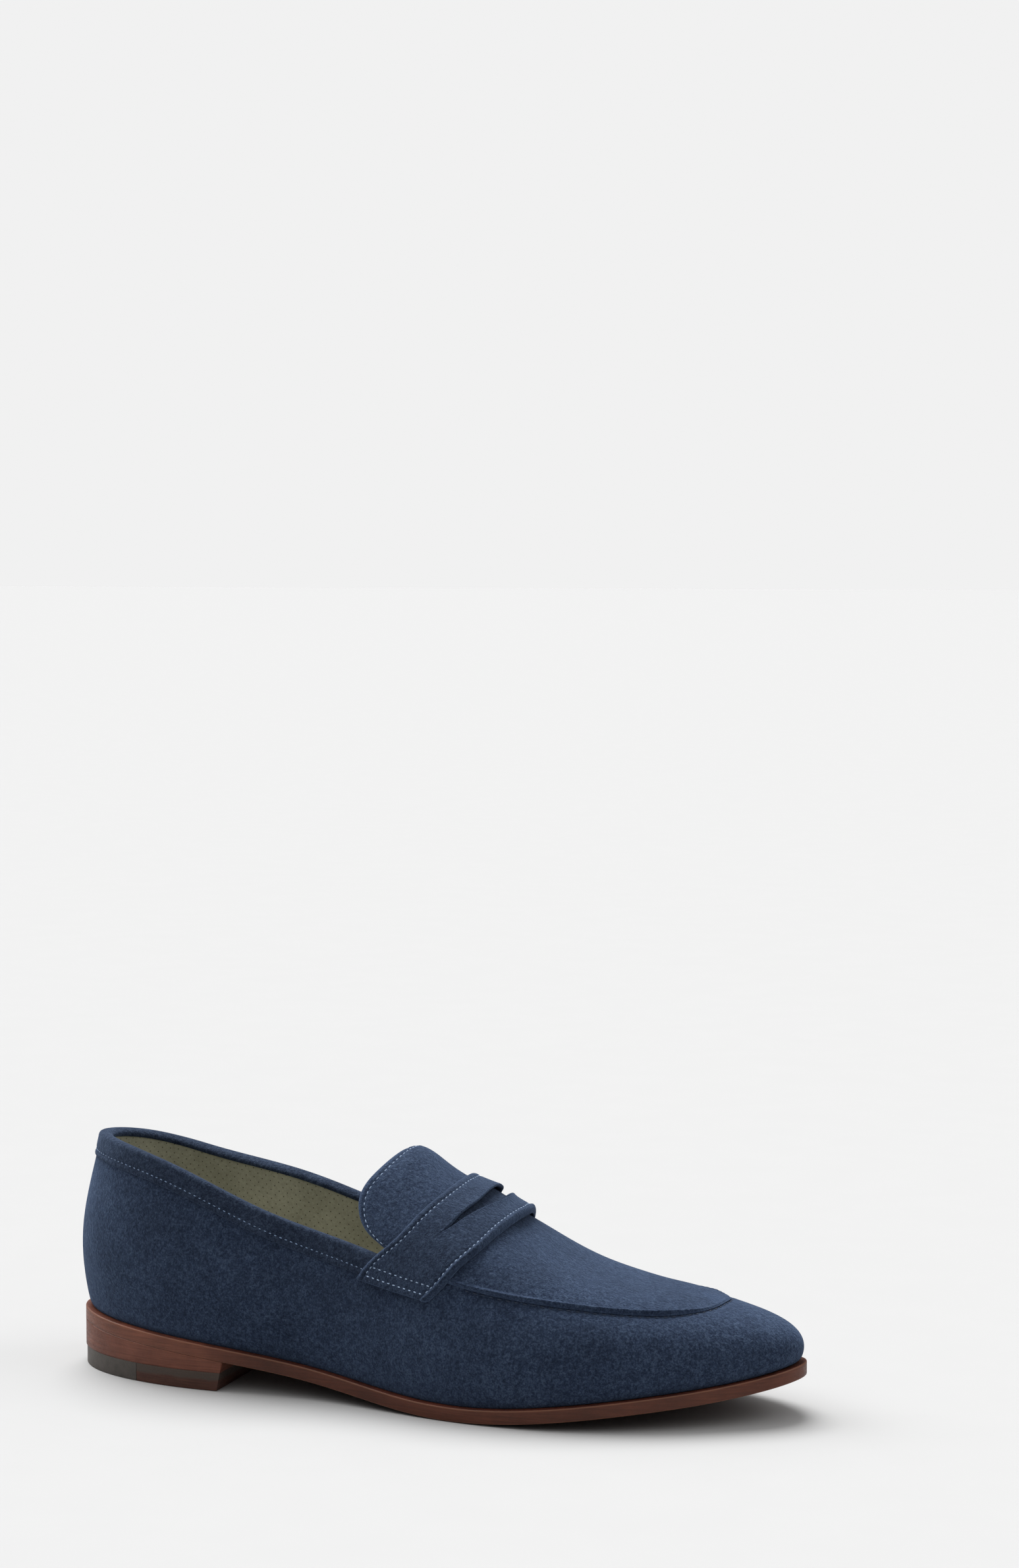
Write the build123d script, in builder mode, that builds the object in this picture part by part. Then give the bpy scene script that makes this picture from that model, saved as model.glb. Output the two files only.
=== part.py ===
from build123d import *
import os
import numpy as np

# Penny loafer, right shoe. +X toe, +Y medial side, +Z up, ground at Z = 0.
# Plan outline of the leather outsole, from the heel back round the lateral side.
OUTLINE = [(-149, 3.1), (-140, -13.9), (-116, -28), (-79, -34), (-39, -34.2), (1, -42.4),
           (41, -48.7), (76, -45.7), (106, -35), (130, -20.8), (144.5, -7.9), (149, 3.9),
           (145, 15.3), (131, 27.2), (101, 39.8), (66, 48.2), (31, 46.2), (-4, 36.5),
           (-39, 29.5), (-79, 31.3), (-116, 33.8), (-140, 23.8)]
# Height of the outsole's underside along the shoe: heel seat, shank, tread, toe spring.
TREAD_X = [-154, -74, -37, -12, 8, 22, 41, 66, 96, 126, 154]
TREAD_Z = [18.0, 11.3, 6.6, 2.9, 0.6, 0.02, 0.6, 3.0, 6.8, 10.9, 16.6]
OUTSOLE = 5.3
FEATHER_INSET = 2.5
# Ridge line of the last, from the open heel end to the toe.
RIDGE_X = [-129, -99, -64, -39, -19, -4, 12, 26, 39, 53, 65, 77, 89, 101, 113, 125]
RIDGE_Z = [150, 132, 114, 104.6, 95.9, 89.4, 81.5, 73.4, 65.7, 57.4, 51.7, 48.1, 45.8, 44.5,
           42.4, 39.2]
RIDGE_REAR, RIDGE_FRONT, RIDGE_SOFT = -109, 108, 9
CENTRE_X = [-160, -109, -29, 31, 101, 160]
CENTRE_Y = [3.1, 3.1, 2.1, 3.1, 5.1, 5.1]
# Wall shape round the shoe, by fraction of the outline: rise, bulge and lean.
WALL_U = [0, 0.1, 0.2, 0.3, 0.4, 0.46, 0.5, 0.54, 0.6, 0.7, 0.8, 0.9]
WALL_RISE = [46.4, 52.1, 53.1, 53.3, 30.6, 19.8, 15.5, 17.5, 27.5, 45.0, 51.5, 55.0]
WALL_BULGE = [9.5, 6.9, 4.2, 7.8, 6.3, 6.1, 7.8, 6.1, 5.4, 4.6, 2.8, 3.7]
WALL_LEAN = [0.50, 0.54, 0.55, 0.58, 0.57, 0.56, 0.57, 0.55, 0.54, 0.54, 0.55, 0.55]
# Height of the collar's top edge (rear) and of the apron seam (front) round the shoe.
TOP_U = [0, 0.05, 0.1, 0.16, 0.22, 0.28, 0.34, 0.4, 0.45, 0.5, 0.55, 0.6, 0.66, 0.72, 0.78, 0.84,
         0.9, 0.95]
TOP_Z = [92.6, 91.5, 84.8, 69.6, 59.5, 50.8, 44.9, 41.0, 41.3, 41.6, 40.9, 40.2, 43.4, 52.2,
         62.8, 76.0, 82.5, 88.6]
# Leather layers, as distances outward from the last surface: inner face, outer face.
WALL = (-1.3, 0.0)
STIFFENER = (-2.65, -1.45)
LINING = (-3.9, -2.9)
APRON_LINING = (-2.75, -1.85)
APRON = (0.12, 1.32)
TONGUE_LINING = (-0.95, -0.05)
STRAP_LINING = (1.47, 2.02)
STRAP = (2.14, 3.24)
BAND_DROP = 8.5
BINDING_END = -5
BINDING_RISE = 1.1
LINING_RISE = 1.2
SEAM_LAP = 4.5
APRON_V = 0.34
MEDIAL = 0.92
STRAP_CORNER = -3.5
SIDE_SEAM_U = 0.745
# Strap edges: distance along the shoe against the share of the way up to the ridge.
STRAP_V = [0.28, 0.33, 0.42, 0.547, 0.665, 0.812, 1.0]
STRAP_REAR = [-15.8, -12.0, -3.2, 4.3, 8.7, 12.0, 13.3]
STRAP_FRONT = [15.0, 19.4, 25.0, 31.0, 33.7, 35.6, 36.8]
# Free end of the tongue in the same terms, from its side to the ridge.
TONGUE_V = [0.405, 0.425, 0.45, 0.49, 0.55, 0.61, 0.705, 0.844, 1.0]
TONGUE_END = [-5.6, -11.5, -15.5, -18.2, -19.3, -18.3, -15.2, -11.8, -10.0]
# Slot through the strap: the same terms, rear and front lip.
SLOT_W = [0.0, 0.1, 0.2, 0.33, 0.43, 0.5]
SLOT_REAR = [22.3, 22.3, 22.0, 19.4, 16.8, 13.2]
SLOT_FRONT = [29.0, 28.3, 26.0, 22.0, 17.8, 13.2]
# Heel: top piece, lower lift and wedge, cut by a breast that slants back to the ground.
TOP_PIECE = 7.0
LIFT = 2.2
GLUE = 0.15
BREAST_TOP, BREAST_FOOT = -74, -76.4
# Foot bed above the outsole.
CORK = 1.7
INSOLE = 2.2
SOCK = 1.2
HEEL_PAD = 2.0


def spline(xs, ys, x, period=None):
    """Cubic curve through (xs, ys), natural or closed, read at x."""
    xs = np.asarray(xs, float)
    ys = np.asarray(ys, float)
    if period:
        xs = np.concatenate([xs, [xs[0] + period]])
        ys = np.concatenate([ys, ys[:1]])
        x = np.mod(np.asarray(x, float) - xs[0], period) + xs[0]
    n = len(xs)
    h = np.diff(xs)
    slope = np.diff(ys, axis=0) / (h if ys.ndim == 1 else h[:, None])
    a = np.zeros((n, n))
    b = np.zeros_like(ys)
    for i in range(1, n - 1):
        a[i, i - 1:i + 2] = h[i - 1], 2 * (h[i - 1] + h[i]), h[i]
        b[i] = 6 * (slope[i] - slope[i - 1])
    if period:
        a[0, 0], a[0, n - 1] = 1, -1
        a[n - 1, 0], a[n - 1, 1] = 2 * h[0], h[0]
        a[n - 1, n - 2], a[n - 1, n - 1] = h[-1], 2 * h[-1]
        b[n - 1] = 6 * (slope[0] - slope[-1])
    else:
        a[0, 0] = a[n - 1, n - 1] = 1
    m = np.linalg.solve(a, b)
    x = np.clip(np.asarray(x, float), xs[0], xs[-1])
    i = np.clip(np.searchsorted(xs, x) - 1, 0, n - 2)
    w = h[i]
    p = (xs[i + 1] - x) / w
    q = (x - xs[i]) / w
    if ys.ndim == 2:
        w, p, q = w[..., None], p[..., None], q[..., None]
    return p * ys[i] + q * ys[i + 1] + ((p ** 3 - p) * m[i] + (q ** 3 - q) * m[i + 1]) * w * w / 6


def outline(u):
    """Point of the outsole's plan outline at fraction u, and its outward direction."""
    pts = np.array(OUTLINE, float)
    step = np.hypot(*np.diff(np.vstack([pts, pts[:1]]), axis=0).T)
    at = np.concatenate([[0], np.cumsum(step)])
    at = at / at[-1]
    point = spline(at[:-1], pts, u, 1.0)
    run = spline(at[:-1], pts, np.asarray(u) + 1e-4, 1.0) - spline(at[:-1], pts, np.asarray(u) - 1e-4, 1.0)
    out = np.stack([run[..., 1], -run[..., 0]], -1)
    return point, out / np.linalg.norm(out, axis=-1, keepdims=True)


def tread(x):
    return spline(TREAD_X, TREAD_Z, x)


def last(u, v):
    """Outer surface of the upper: v = 0 at the sole's edge, v = 1 on the ridge."""
    u, v = np.broadcast_arrays(np.asarray(u, float), np.asarray(v, float))
    edge, out = outline(u)
    foot = edge - FEATHER_INSET * out
    x, y = foot[..., 0], foot[..., 1]
    low = tread(x) + OUTSOLE + GLUE
    rear = np.logaddexp(0, (x - RIDGE_REAR) / RIDGE_SOFT)
    front = np.logaddexp(0, (x - RIDGE_FRONT) / RIDGE_SOFT)
    rx = RIDGE_REAR + RIDGE_SOFT * (rear - front)
    ry = spline(CENTRE_X, CENTRE_Y, rx)
    rz = spline(RIDGE_X, RIDGE_Z, rx)
    fall = spline(RIDGE_X, RIDGE_Z, rx + 0.5) - spline(RIDGE_X, RIDGE_Z, rx - 0.5)
    rise = spline(WALL_U, WALL_RISE, u, 1.0)
    bulge = spline(WALL_U, WALL_BULGE, u, 1.0)
    lean = spline(WALL_U, WALL_LEAN, u, 1.0)
    p0 = np.stack([x, y, low], -1)
    p1 = p0 + np.stack([out[..., 0] * bulge, out[..., 1] * bulge, rise], -1)
    p3 = np.stack([rx, ry, rz], -1)
    p2 = p3 + lean[..., None] * np.stack([x - rx, y - ry, fall * (x - rx)], -1)
    v = v[..., None]
    w = 1 - v
    return w ** 3 * p0 + 3 * w * w * v * p1 + 3 * w * v * v * p2 + v ** 3 * p3


def station(x, lateral):
    """Fraction of the outline whose foot point lies at x, on one side."""
    u = np.linspace(0, 0.5, 401) if lateral else np.linspace(1, 0.5, 401)
    edge, out = outline(u)
    return np.interp(x, edge[:, 0] - FEATHER_INSET * out[:, 0], u)


def skin(u, v, off):
    """Point at a distance off outside the last surface."""
    u, v = np.broadcast_arrays(np.asarray(u, float), np.asarray(v, float))
    e = 1e-3
    du = last(u + e, v) - last(u - e, v)
    dv = last(u, np.minimum(v + e, 1)) - last(u, v - e)
    n = np.cross(du, dv)
    n = n / np.linalg.norm(n, axis=-1, keepdims=True)
    return last(u, v) + np.asarray(off, float)[..., None] * n


def over(x, w, off):
    """Point over the instep: w from -1 (lateral sole edge) through 0 (ridge) to 1."""
    x, w = np.broadcast_arrays(np.asarray(x, float), np.asarray(w, float))
    u = np.where(w < 0, station(x, True), station(x, False))
    return skin(u, 1 - np.where(w < 0, -w, MEDIAL * w), np.broadcast_to(off, x.shape))


def top_v(u):
    """Share of the way up at which the wall meets the collar edge or the apron seam."""
    u = np.atleast_1d(np.asarray(u, float))
    v = np.linspace(0, 1, 201)
    z = last(u[:, None], v[None])[..., 2]
    goal = spline(TOP_U, TOP_Z, u, 1.0)
    over_goal = z >= goal[:, None]
    j = np.where(over_goal.any(axis=1), np.argmax(over_goal, axis=1), 200)
    i = np.arange(len(u))
    part = (goal - z[i, j - 1]) / (z[i, j] - z[i, j - 1])
    return v[j - 1] + np.clip(part, 0, 1) * 0.005


def down(u, v, drop):
    """Share of the way up at a distance drop below v, measured over the surface."""
    run = np.linalg.norm(last(u, v) - last(u, v - 0.01), axis=-1) / 0.01
    return v - drop / run


def skin_face(grid):
    return Face.make_surface_from_array_of_points([[Vector(*p) for p in row] for row in grid],
                                                   tol=0.02)


def sheet(outer, inner):
    """Leather between two matching grids of points."""
    top = skin_face(outer)
    bottom = skin_face(inner)
    sides = [Face.make_surface_from_curves(a, b) for a, b in zip(top.edges(), bottom.edges())]
    body = Solid(Shell([top, bottom] + sides))
    return body


def wall_sheet(u0, u1, v0, v1, layer, count=60, rows=13):
    u = np.linspace(u0, u1, count)
    low = v0(u) if callable(v0) else np.full(count, v0)
    high = v1(u) if callable(v1) else np.full(count, v1)
    share = np.linspace(0, 1, rows)
    v = low[:, None] + (high - low)[:, None] * share[None]
    grids = [skin(u[:, None], v, np.full(v.shape, d)) for d in (layer[1], layer[0])]
    return sheet(*grids)


def edge_top(rise, lap, join=15):
    """Top edge of a wall layer: rise below the collar edge, then lap above the apron seam."""
    def top(u):
        v = top_v(u)
        front = np.clip((last(u, v)[..., 0] - join + 20) / 20, 0, 1)
        front = front * front * (3 - 2 * front)
        return down(u, v, rise * (1 - front) - lap * front)
    return top


def share_top(share):
    return lambda u: share * top_v(u)


def across(x0, x1, w_end, layer, count=41, rows=9):
    """Leather over the instep between two edges given as x against w."""
    w = np.linspace(-w_end, w_end, count)
    a, b = x0(1 - np.abs(w)), x1(1 - np.abs(w))
    x = a[:, None] + (b - a)[:, None] * np.linspace(0, 1, rows)[None]
    return sheet(over(x, w[:, None], layer[1]), over(x, w[:, None], layer[0]))


def locate(x, y):
    """Where the last surface lies above a plan point, as (u, v)."""
    us, vs = np.meshgrid(np.linspace(0.2, 0.8, 121), np.linspace(0.1, 1, 46), indexing="ij")
    near = last(us, vs).reshape(-1, 3)
    goal = np.stack([x, y], -1).reshape(-1, 2)
    medial = (near[:, 1] > spline(CENTRE_X, CENTRE_Y, near[:, 0])) & (us.reshape(-1) > 0.5)
    best = []
    for p in goal:
        wrong = medial != (p[1] > spline(CENTRE_X, CENTRE_Y, p[0]))
        best.append(np.argmin(np.hypot(near[:, 0] - p[0], near[:, 1] - p[1]) + 50 * wrong * (p[0] < 98)))
    q = np.stack([us.reshape(-1)[best] * 700, vs.reshape(-1)[best] * 50], -1)
    for _ in range(25):
        at = last(q[:, 0] / 700, q[:, 1] / 50)[:, :2]
        miss = goal - at
        j0 = (last((q[:, 0] + 0.05) / 700, q[:, 1] / 50)[:, :2] - at) / 0.05
        j1 = (at - last(q[:, 0] / 700, (q[:, 1] - 0.05) / 50)[:, :2]) / 0.05
        jac = np.stack([j0, j1], -1)
        lhs = np.einsum("nij,nik->njk", jac, jac) + 1e-5 * np.eye(2)
        step = np.linalg.solve(lhs, np.einsum("nij,ni->nj", jac, miss)[..., None])[..., 0]
        q = q + np.clip(step, -4, 4)
        q[:, 1] = np.clip(q[:, 1], 2, 50)
    return (q[:, 0] / 700).reshape(x.shape), (q[:, 1] / 50).reshape(x.shape)


def height(x, y):
    u, v = locate(x, y)
    return last(u, v)[..., 2]


def instep_patch(layer):
    """Sheet over the top of the forefoot, wide enough to be cut to the apron's outline."""
    x = np.linspace(-9, 119, 41)
    lateral = over(np.minimum(x, 98), np.full(x.shape, APRON_V - 1), 0.0)[:, 1] - 1.5
    medial = over(np.minimum(x, 98), np.full(x.shape, 1 - APRON_V), 0.0)[:, 1] + 1.5
    close = np.clip((x - 98) / 21, 0, 1)
    lateral = lateral * (1 - close) - 7 * close
    medial = medial * (1 - close) + 16 * close
    y = lateral[:, None] + (medial - lateral)[:, None] * np.linspace(0, 1, 21)[None]
    x = np.broadcast_to(x[:, None], y.shape)
    e = 0.25
    zx = (height(x + e, y) - height(x - e, y)) / (2 * e)
    zy = (height(x, y + e) - height(x, y - e)) / (2 * e)
    n = np.stack([-zx, -zy, np.ones(x.shape)], -1)
    n = n / np.linalg.norm(n, axis=-1, keepdims=True)
    base = np.stack([x, y, height(x, y)], -1)
    return sheet(base + layer[1] * n, base + layer[0] * n)


def seam_plan(inset):
    """Apron outline in plan: up one side of the seam, round the toe and back."""
    u = np.linspace(station(26, True), station(26, False), 33)
    front = last(u, down(u, top_v(u), -inset))
    share = np.linspace(0, 1, 5)[:-1]
    sides = []
    for lateral in (True, False):
        corner_v = 0.425 if lateral else 1 - MEDIAL * 0.575
        end_v = top_v(station(26, lateral))[0]
        x = STRAP_CORNER + (26 - STRAP_CORNER) * share
        v = corner_v + (end_v - corner_v) * share
        sides.append(last(station(x, lateral), v))
    points = np.vstack([sides[0], front, sides[1][::-1]])
    return [(p[0], p[1]) for p in points]


def plate(inset, low, high, x0=-160, x1=160, stations=15):
    """Flat layer of the bottom: the outline drawn in by inset, between two heights."""
    u = np.linspace(0, 1, 29)[:-1]
    edge, out = outline(u)
    rim = [tuple(p) for p in edge - inset * out]
    x = np.linspace(x0, x1, stations)
    floor = [(a, b) for a, b in zip(x, low(x))]
    roof = [(a, b) for a, b in zip(x, high(x))][::-1]
    with BuildPart() as layer:
        with BuildSketch(Plane.XY):
            with BuildLine():
                Spline(*rim, periodic=True)
            make_face()
        extrude(amount=60)
        with BuildSketch(Plane.XZ):
            with BuildLine():
                Spline(*floor)
                Line(floor[-1], roof[0])
                Spline(*roof)
                Line(roof[-1], floor[0])
            make_face()
        extrude(amount=90, both=True, mode=Mode.INTERSECT)
    return layer.part


def above(gap):
    """Height above the outsole's upper face."""
    return lambda x: tread(x) + OUTSOLE + gap


def pad_rise(x):
    share = np.clip((-58 - x) / 26, 0, 1)
    return (HEEL_PAD + GLUE) * share * share * (3 - 2 * share)


def heel_block(x_rear, x_front, low, high):
    """Slice of the heel between two heights, cut off at the slanting breast."""
    def breast(z):
        return min(x_front, BREAST_FOOT + (BREAST_TOP - BREAST_FOOT) * z / 12)
    u = np.linspace(0, 1, 29)[:-1]
    rim = [tuple(p) for p in outline(u)[0]]
    with BuildPart() as block:
        with BuildSketch(Plane.XY):
            with BuildLine():
                Spline(*rim, periodic=True)
            make_face()
        extrude(amount=60)
        with BuildSketch(Plane.XZ):
            with BuildLine():
                Polyline(
                    (x_rear, low), (breast(low), low), (breast(high), high), (x_rear, high), close=True
                )
            make_face()
        extrude(amount=90, both=True, mode=Mode.INTERSECT)
    return block.part


def cut_plan(solid, points, through=140):
    """Part of a solid inside a plan outline, cut straight down."""
    with BuildPart() as piece:
        with BuildSketch(Plane.XY):
            with BuildLine():
                Spline(*points[0])
                Spline(*points[1])
            make_face()
        extrude(amount=through)
    return solid & piece.part


# Bottom: outsole, filler, shank, insole, pad and sock.
outsole_body = plate(0, tread, above(0))
with BuildPart() as outsole:
    add(outsole_body)
outsole.part.label = "outsole"

SHANK_X0, SHANK_X1, SHANK_W = -106, -2, 13
shank_body = plate(3, above(GLUE), above(GLUE + 1.3), SHANK_X0, SHANK_X1)
with BuildPart() as shank:
    add(shank_body)
    with BuildSketch(Plane.XY):
        with Locations(((SHANK_X0 + SHANK_X1) / 2, 1.5)):
            SlotOverall(SHANK_X1 - SHANK_X0 - 1, SHANK_W)
    extrude(amount=40, mode=Mode.INTERSECT)
shank.part.label = "shank"

cork_body = plate(9, above(GLUE), above(GLUE + CORK), -137, 134)
with BuildPart() as cork_filler:
    add(cork_body)
    with BuildSketch(Plane.XY):
        with Locations(((SHANK_X0 + SHANK_X1) / 2, 1.5)):
            SlotOverall(SHANK_X1 - SHANK_X0, SHANK_W + 0.6)
    extrude(amount=60, mode=Mode.SUBTRACT)
cork_filler.part.label = "cork_filler"

insole_low = 2 * GLUE + CORK
insole_body = plate(7.2, above(insole_low), above(insole_low + INSOLE))
with BuildPart() as insole_board:
    add(insole_body)
insole_board.part.label = "insole_board"

bed = insole_low + INSOLE + GLUE
pad_body = plate(9.5, above(bed), lambda x: above(bed)(x) + np.maximum(pad_rise(x) - GLUE, 0.4), -150, -67)
with BuildPart() as heel_pad:
    add(pad_body)
heel_pad.part.label = "heel_pad"

sock_low = above(bed + 0.08)
sock_body = plate(
    7.6, lambda x: sock_low(x) + pad_rise(x), lambda x: above(bed + SOCK)(x) + pad_rise(x), stations=41
)
with BuildPart() as sock_liner:
    add(sock_body)
sock_liner.part.label = "sock_liner"

# Heel: wedge, lower lift and the two-part top piece held by brass pins.
wedge_body = plate(0, lambda x: np.full(x.shape, TOP_PIECE + LIFT + 2 * GLUE), lambda x: tread(x) - GLUE,
                   -160, BREAST_TOP - 0.3)
with BuildPart() as heel_wedge:
    add(wedge_body)
heel_wedge.part.label = "heel_wedge"

lift_body = heel_block(-160, 0, TOP_PIECE + GLUE, TOP_PIECE + GLUE + LIFT)
with BuildPart() as heel_lift:
    add(lift_body)
heel_lift.part.label = "heel_lift"

PIN_U = [0.112, 0.083, 0.055, 0.028, 0.995, 0.962, 0.934, 0.906, 0.883]
PIN_R = 1.0
JOIN_X = -113
pin_edge, pin_out = outline(PIN_U)
pins = [tuple(p) for p in pin_edge - 6.0 * pin_out]
top_body = heel_block(-160, 0, 0, TOP_PIECE)
for part_name in ("rubber", "leather"):
    rear = part_name == "rubber"
    x_far = -170 if rear else 0
    x_edge = JOIN_X - 0.1 if rear else JOIN_X + 0.1
    with BuildPart() as half:
        add(top_body)
        with BuildSketch(Plane.XY):
            with BuildLine():
                Polyline(
                    (x_edge, -60), (x_edge, -9), (x_edge - 7, -5), (x_edge - 7, 11), (x_edge, 15),
                    (x_edge, 60), (x_far, 60), (x_far, -60), close=True,
                )
            make_face()
        extrude(amount=20, mode=Mode.INTERSECT)
        with BuildSketch(Plane.XY):
            with Locations(*pins):
                Circle(PIN_R + 0.15)
        extrude(amount=20, mode=Mode.SUBTRACT)
    half.part.label = "top_piece_" + part_name
    if rear:
        top_piece_rubber = half
    else:
        top_piece_leather = half

with BuildPart() as heel_pins:
    with BuildSketch(Plane.XY.offset(0.5)):
        with Locations(*pins):
            Circle(PIN_R)
    extrude(amount=TOP_PIECE - 1.0)
heel_pins.part.label = "heel_pins"

# Upper: outer wall, stiffeners between the leathers, linings.
pieces = {}
wall_u0, wall_u1 = SIDE_SEAM_U - 1 + 0.0003, SIDE_SEAM_U - 0.0003
pieces["side_wall"] = wall_sheet(wall_u0, wall_u1, 0.0, edge_top(BINDING_RISE, SEAM_LAP), WALL, 73)
pieces["heel_counter"] = wall_sheet(-0.125, 0.125, 0.03, share_top(0.66), STIFFENER, 31)
pieces["toe_puff"] = wall_sheet(0.405, 0.595, 0.03, share_top(0.72), STIFFENER, 31)
pieces["waist_stiffener_lateral"] = wall_sheet(0.135, 0.235, 0.03, share_top(0.8), STIFFENER, 15)
pieces["waist_stiffener_medial"] = wall_sheet(0.765, 0.865, 0.03, share_top(0.8), STIFFENER, 15)
pieces["quarter_lining"] = wall_sheet(-0.24, 0.24, 0.0, edge_top(LINING_RISE, 0, 60), LINING, 57)
pieces["vamp_lining"] = wall_sheet(0.2415, 0.7585, 0.0, edge_top(LINING_RISE, -1, 25), LINING, 57)

# Top of the forefoot: apron, its lining, the tongue behind it.
rear_w = np.linspace(-0.575, 0.575, 17)
rear_edge = over(spline(STRAP_V, STRAP_REAR, 1 - np.abs(rear_w)) + 0.9, rear_w, 0.7)
rear_line = [(p[0], p[1]) for p in rear_edge]
seam_line = seam_plan(0.0)
apron_plan = ([rear_line[0]] + seam_line[1:-1] + [rear_line[-1]], rear_line)
pieces["apron"] = cut_plan(instep_patch(APRON), apron_plan)
pieces["apron_lining"] = cut_plan(instep_patch(APRON_LINING), apron_plan)


def tongue_end(v):
    return spline(TONGUE_V, TONGUE_END, v)


def strap_rear(v):
    return spline(STRAP_V, STRAP_REAR, v)


def strap_front(v):
    return spline(STRAP_V, STRAP_FRONT, v)


def tongue_root(v):
    return strap_rear(v) - 0.2


pieces["tongue"] = across(tongue_end, tongue_root, 0.594, APRON)
pieces["tongue_lining"] = across(lambda v: tongue_end(v) + 0.5, tongue_root, 0.59, TONGUE_LINING)

# Strap with its slot, its lining, and the tabs that carry its ends.
def slot_edge(xs):
    w = np.array(SLOT_W)
    p = over(np.array(xs[:0:-1] + xs), np.concatenate([-w[:0:-1], w]), 2.6)
    return [(a[0], a[1]) for a in p]


def slotted(solid):
    with BuildPart() as opening:
        with BuildSketch(Plane.XY):
            with BuildLine():
                Spline(*slot_edge(SLOT_REAR))
                Spline(*slot_edge(SLOT_FRONT))
            make_face()
        extrude(amount=140)
    return solid - opening.part


pieces["saddle_strap"] = slotted(across(strap_rear, strap_front, 0.72, STRAP, 45))
pieces["strap_lining"] = across(lambda v: strap_rear(v) + 0.6, lambda v: strap_front(v) - 0.6, 0.712,
                                STRAP_LINING, 45)


def tab(side):
    w = side * np.linspace(0.64, 0.70, 7)
    x = 5 + (np.linspace(18.0, 13.5, 7) - 5)[:, None] * np.linspace(0, 1, 9)[None]
    return sheet(over(x, w[:, None], APRON[1]), over(x, w[:, None], 0.2))


pieces["strap_tab_lateral"] = tab(-1)
pieces["strap_tab_medial"] = tab(1)

# Collar binding: a strip rolled over the top edge, from under one strap end to the other.
binding_u0 = station(BINDING_END, False) - 1
binding_u1 = station(BINDING_END, True)
u = np.linspace(binding_u0, binding_u1, 61)
v = top_v(u)
OUTER_PATH = [(BAND_DROP, 1.05), (6.5, 1.05), (4, 1.05), (2, 1.05), (0.8, 0.95), (0, 0.5), (-0.35, -0.4),
              (-0.45, -1.9), (-0.35, -3.4), (0, -4.3), (0.8, -4.8), (2, -4.9), (4, -4.9), (6, -4.9)]
INNER_PATH = [(BAND_DROP, 0.15), (6.5, 0.15), (4, 0.15), (2, 0.15), (1.3, 0.1), (0.8, -0.2), (0.6, -0.8),
              (0.55, -1.9), (0.6, -3.0), (0.8, -3.6), (1.3, -3.95), (2, -4.0), (4, -4.0), (6, -4.0)]
grids = []
for path in (OUTER_PATH, INNER_PATH):
    columns = []
    for drop, off in path:
        columns.append(skin(u, down(u, v, drop), np.full(u.shape, off)))
    grids.append(np.stack(columns, 1))
pieces["collar_binding"] = sheet(*grids)

os.makedirs("parts", exist_ok=True)
for name, solid in pieces.items():
    with BuildPart() as piece:
        add(solid)
    piece.part.label = name
    export_step(piece.part, "parts/" + name + ".step")
for layer in (outsole, shank, cork_filler, insole_board, heel_pad, sock_liner, heel_wedge, heel_lift,
              top_piece_rubber, top_piece_leather, heel_pins):
    export_step(layer.part, "parts/" + layer.part.label + ".step")
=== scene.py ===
import math

import bmesh
import bpy
import numpy as np
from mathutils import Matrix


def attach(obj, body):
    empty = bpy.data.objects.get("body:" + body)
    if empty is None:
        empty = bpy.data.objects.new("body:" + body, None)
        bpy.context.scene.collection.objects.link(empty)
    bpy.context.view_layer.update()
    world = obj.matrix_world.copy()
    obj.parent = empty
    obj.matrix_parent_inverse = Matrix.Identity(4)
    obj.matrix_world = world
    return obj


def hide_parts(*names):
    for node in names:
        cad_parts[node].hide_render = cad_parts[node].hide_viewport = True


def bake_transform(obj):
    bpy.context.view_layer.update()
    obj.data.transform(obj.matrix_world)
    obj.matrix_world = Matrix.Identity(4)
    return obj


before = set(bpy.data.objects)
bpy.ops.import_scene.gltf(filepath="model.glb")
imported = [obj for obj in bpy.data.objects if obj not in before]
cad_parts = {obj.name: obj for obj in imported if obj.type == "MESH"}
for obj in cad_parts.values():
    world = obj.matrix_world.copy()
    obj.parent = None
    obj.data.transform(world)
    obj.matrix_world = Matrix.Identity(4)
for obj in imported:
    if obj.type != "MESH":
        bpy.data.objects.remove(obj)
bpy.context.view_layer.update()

MM = 0.001
WHITE = (1.0, 1.0, 1.0)
SHOE, FLAP = "shoe", "tongue_flap"

# ---------------------------------------------------------------- the last surface, in mm
OUTLINE = [(-149, 3.1), (-140, -13.9), (-116, -28), (-79, -34), (-39, -34.2), (1, -42.4),
           (41, -48.7), (76, -45.7), (106, -35), (130, -20.8), (144.5, -7.9), (149, 3.9),
           (145, 15.3), (131, 27.2), (101, 39.8), (66, 48.2), (31, 46.2), (-4, 36.5),
           (-39, 29.5), (-79, 31.3), (-116, 33.8), (-140, 23.8)]
TREAD_X = [-154, -74, -37, -12, 8, 22, 41, 66, 96, 126, 154]
TREAD_Z = [18.0, 11.3, 6.6, 2.9, 0.6, 0.02, 0.6, 3.0, 6.8, 10.9, 16.6]
OUTSOLE = 5.3
FEATHER_INSET = 2.5
GLUE = 0.15
RIDGE_X = [-129, -99, -64, -39, -19, -4, 12, 26, 39, 53, 65, 77, 89, 101, 113, 125]
RIDGE_Z = [150, 132, 114, 104.6, 95.9, 89.4, 81.5, 73.4, 65.7, 57.4, 51.7, 48.1, 45.8, 44.5,
           42.4, 39.2]
RIDGE_REAR, RIDGE_FRONT, RIDGE_SOFT = -109, 108, 9
CENTRE_X = [-160, -109, -29, 31, 101, 160]
CENTRE_Y = [3.1, 3.1, 2.1, 3.1, 5.1, 5.1]
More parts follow.
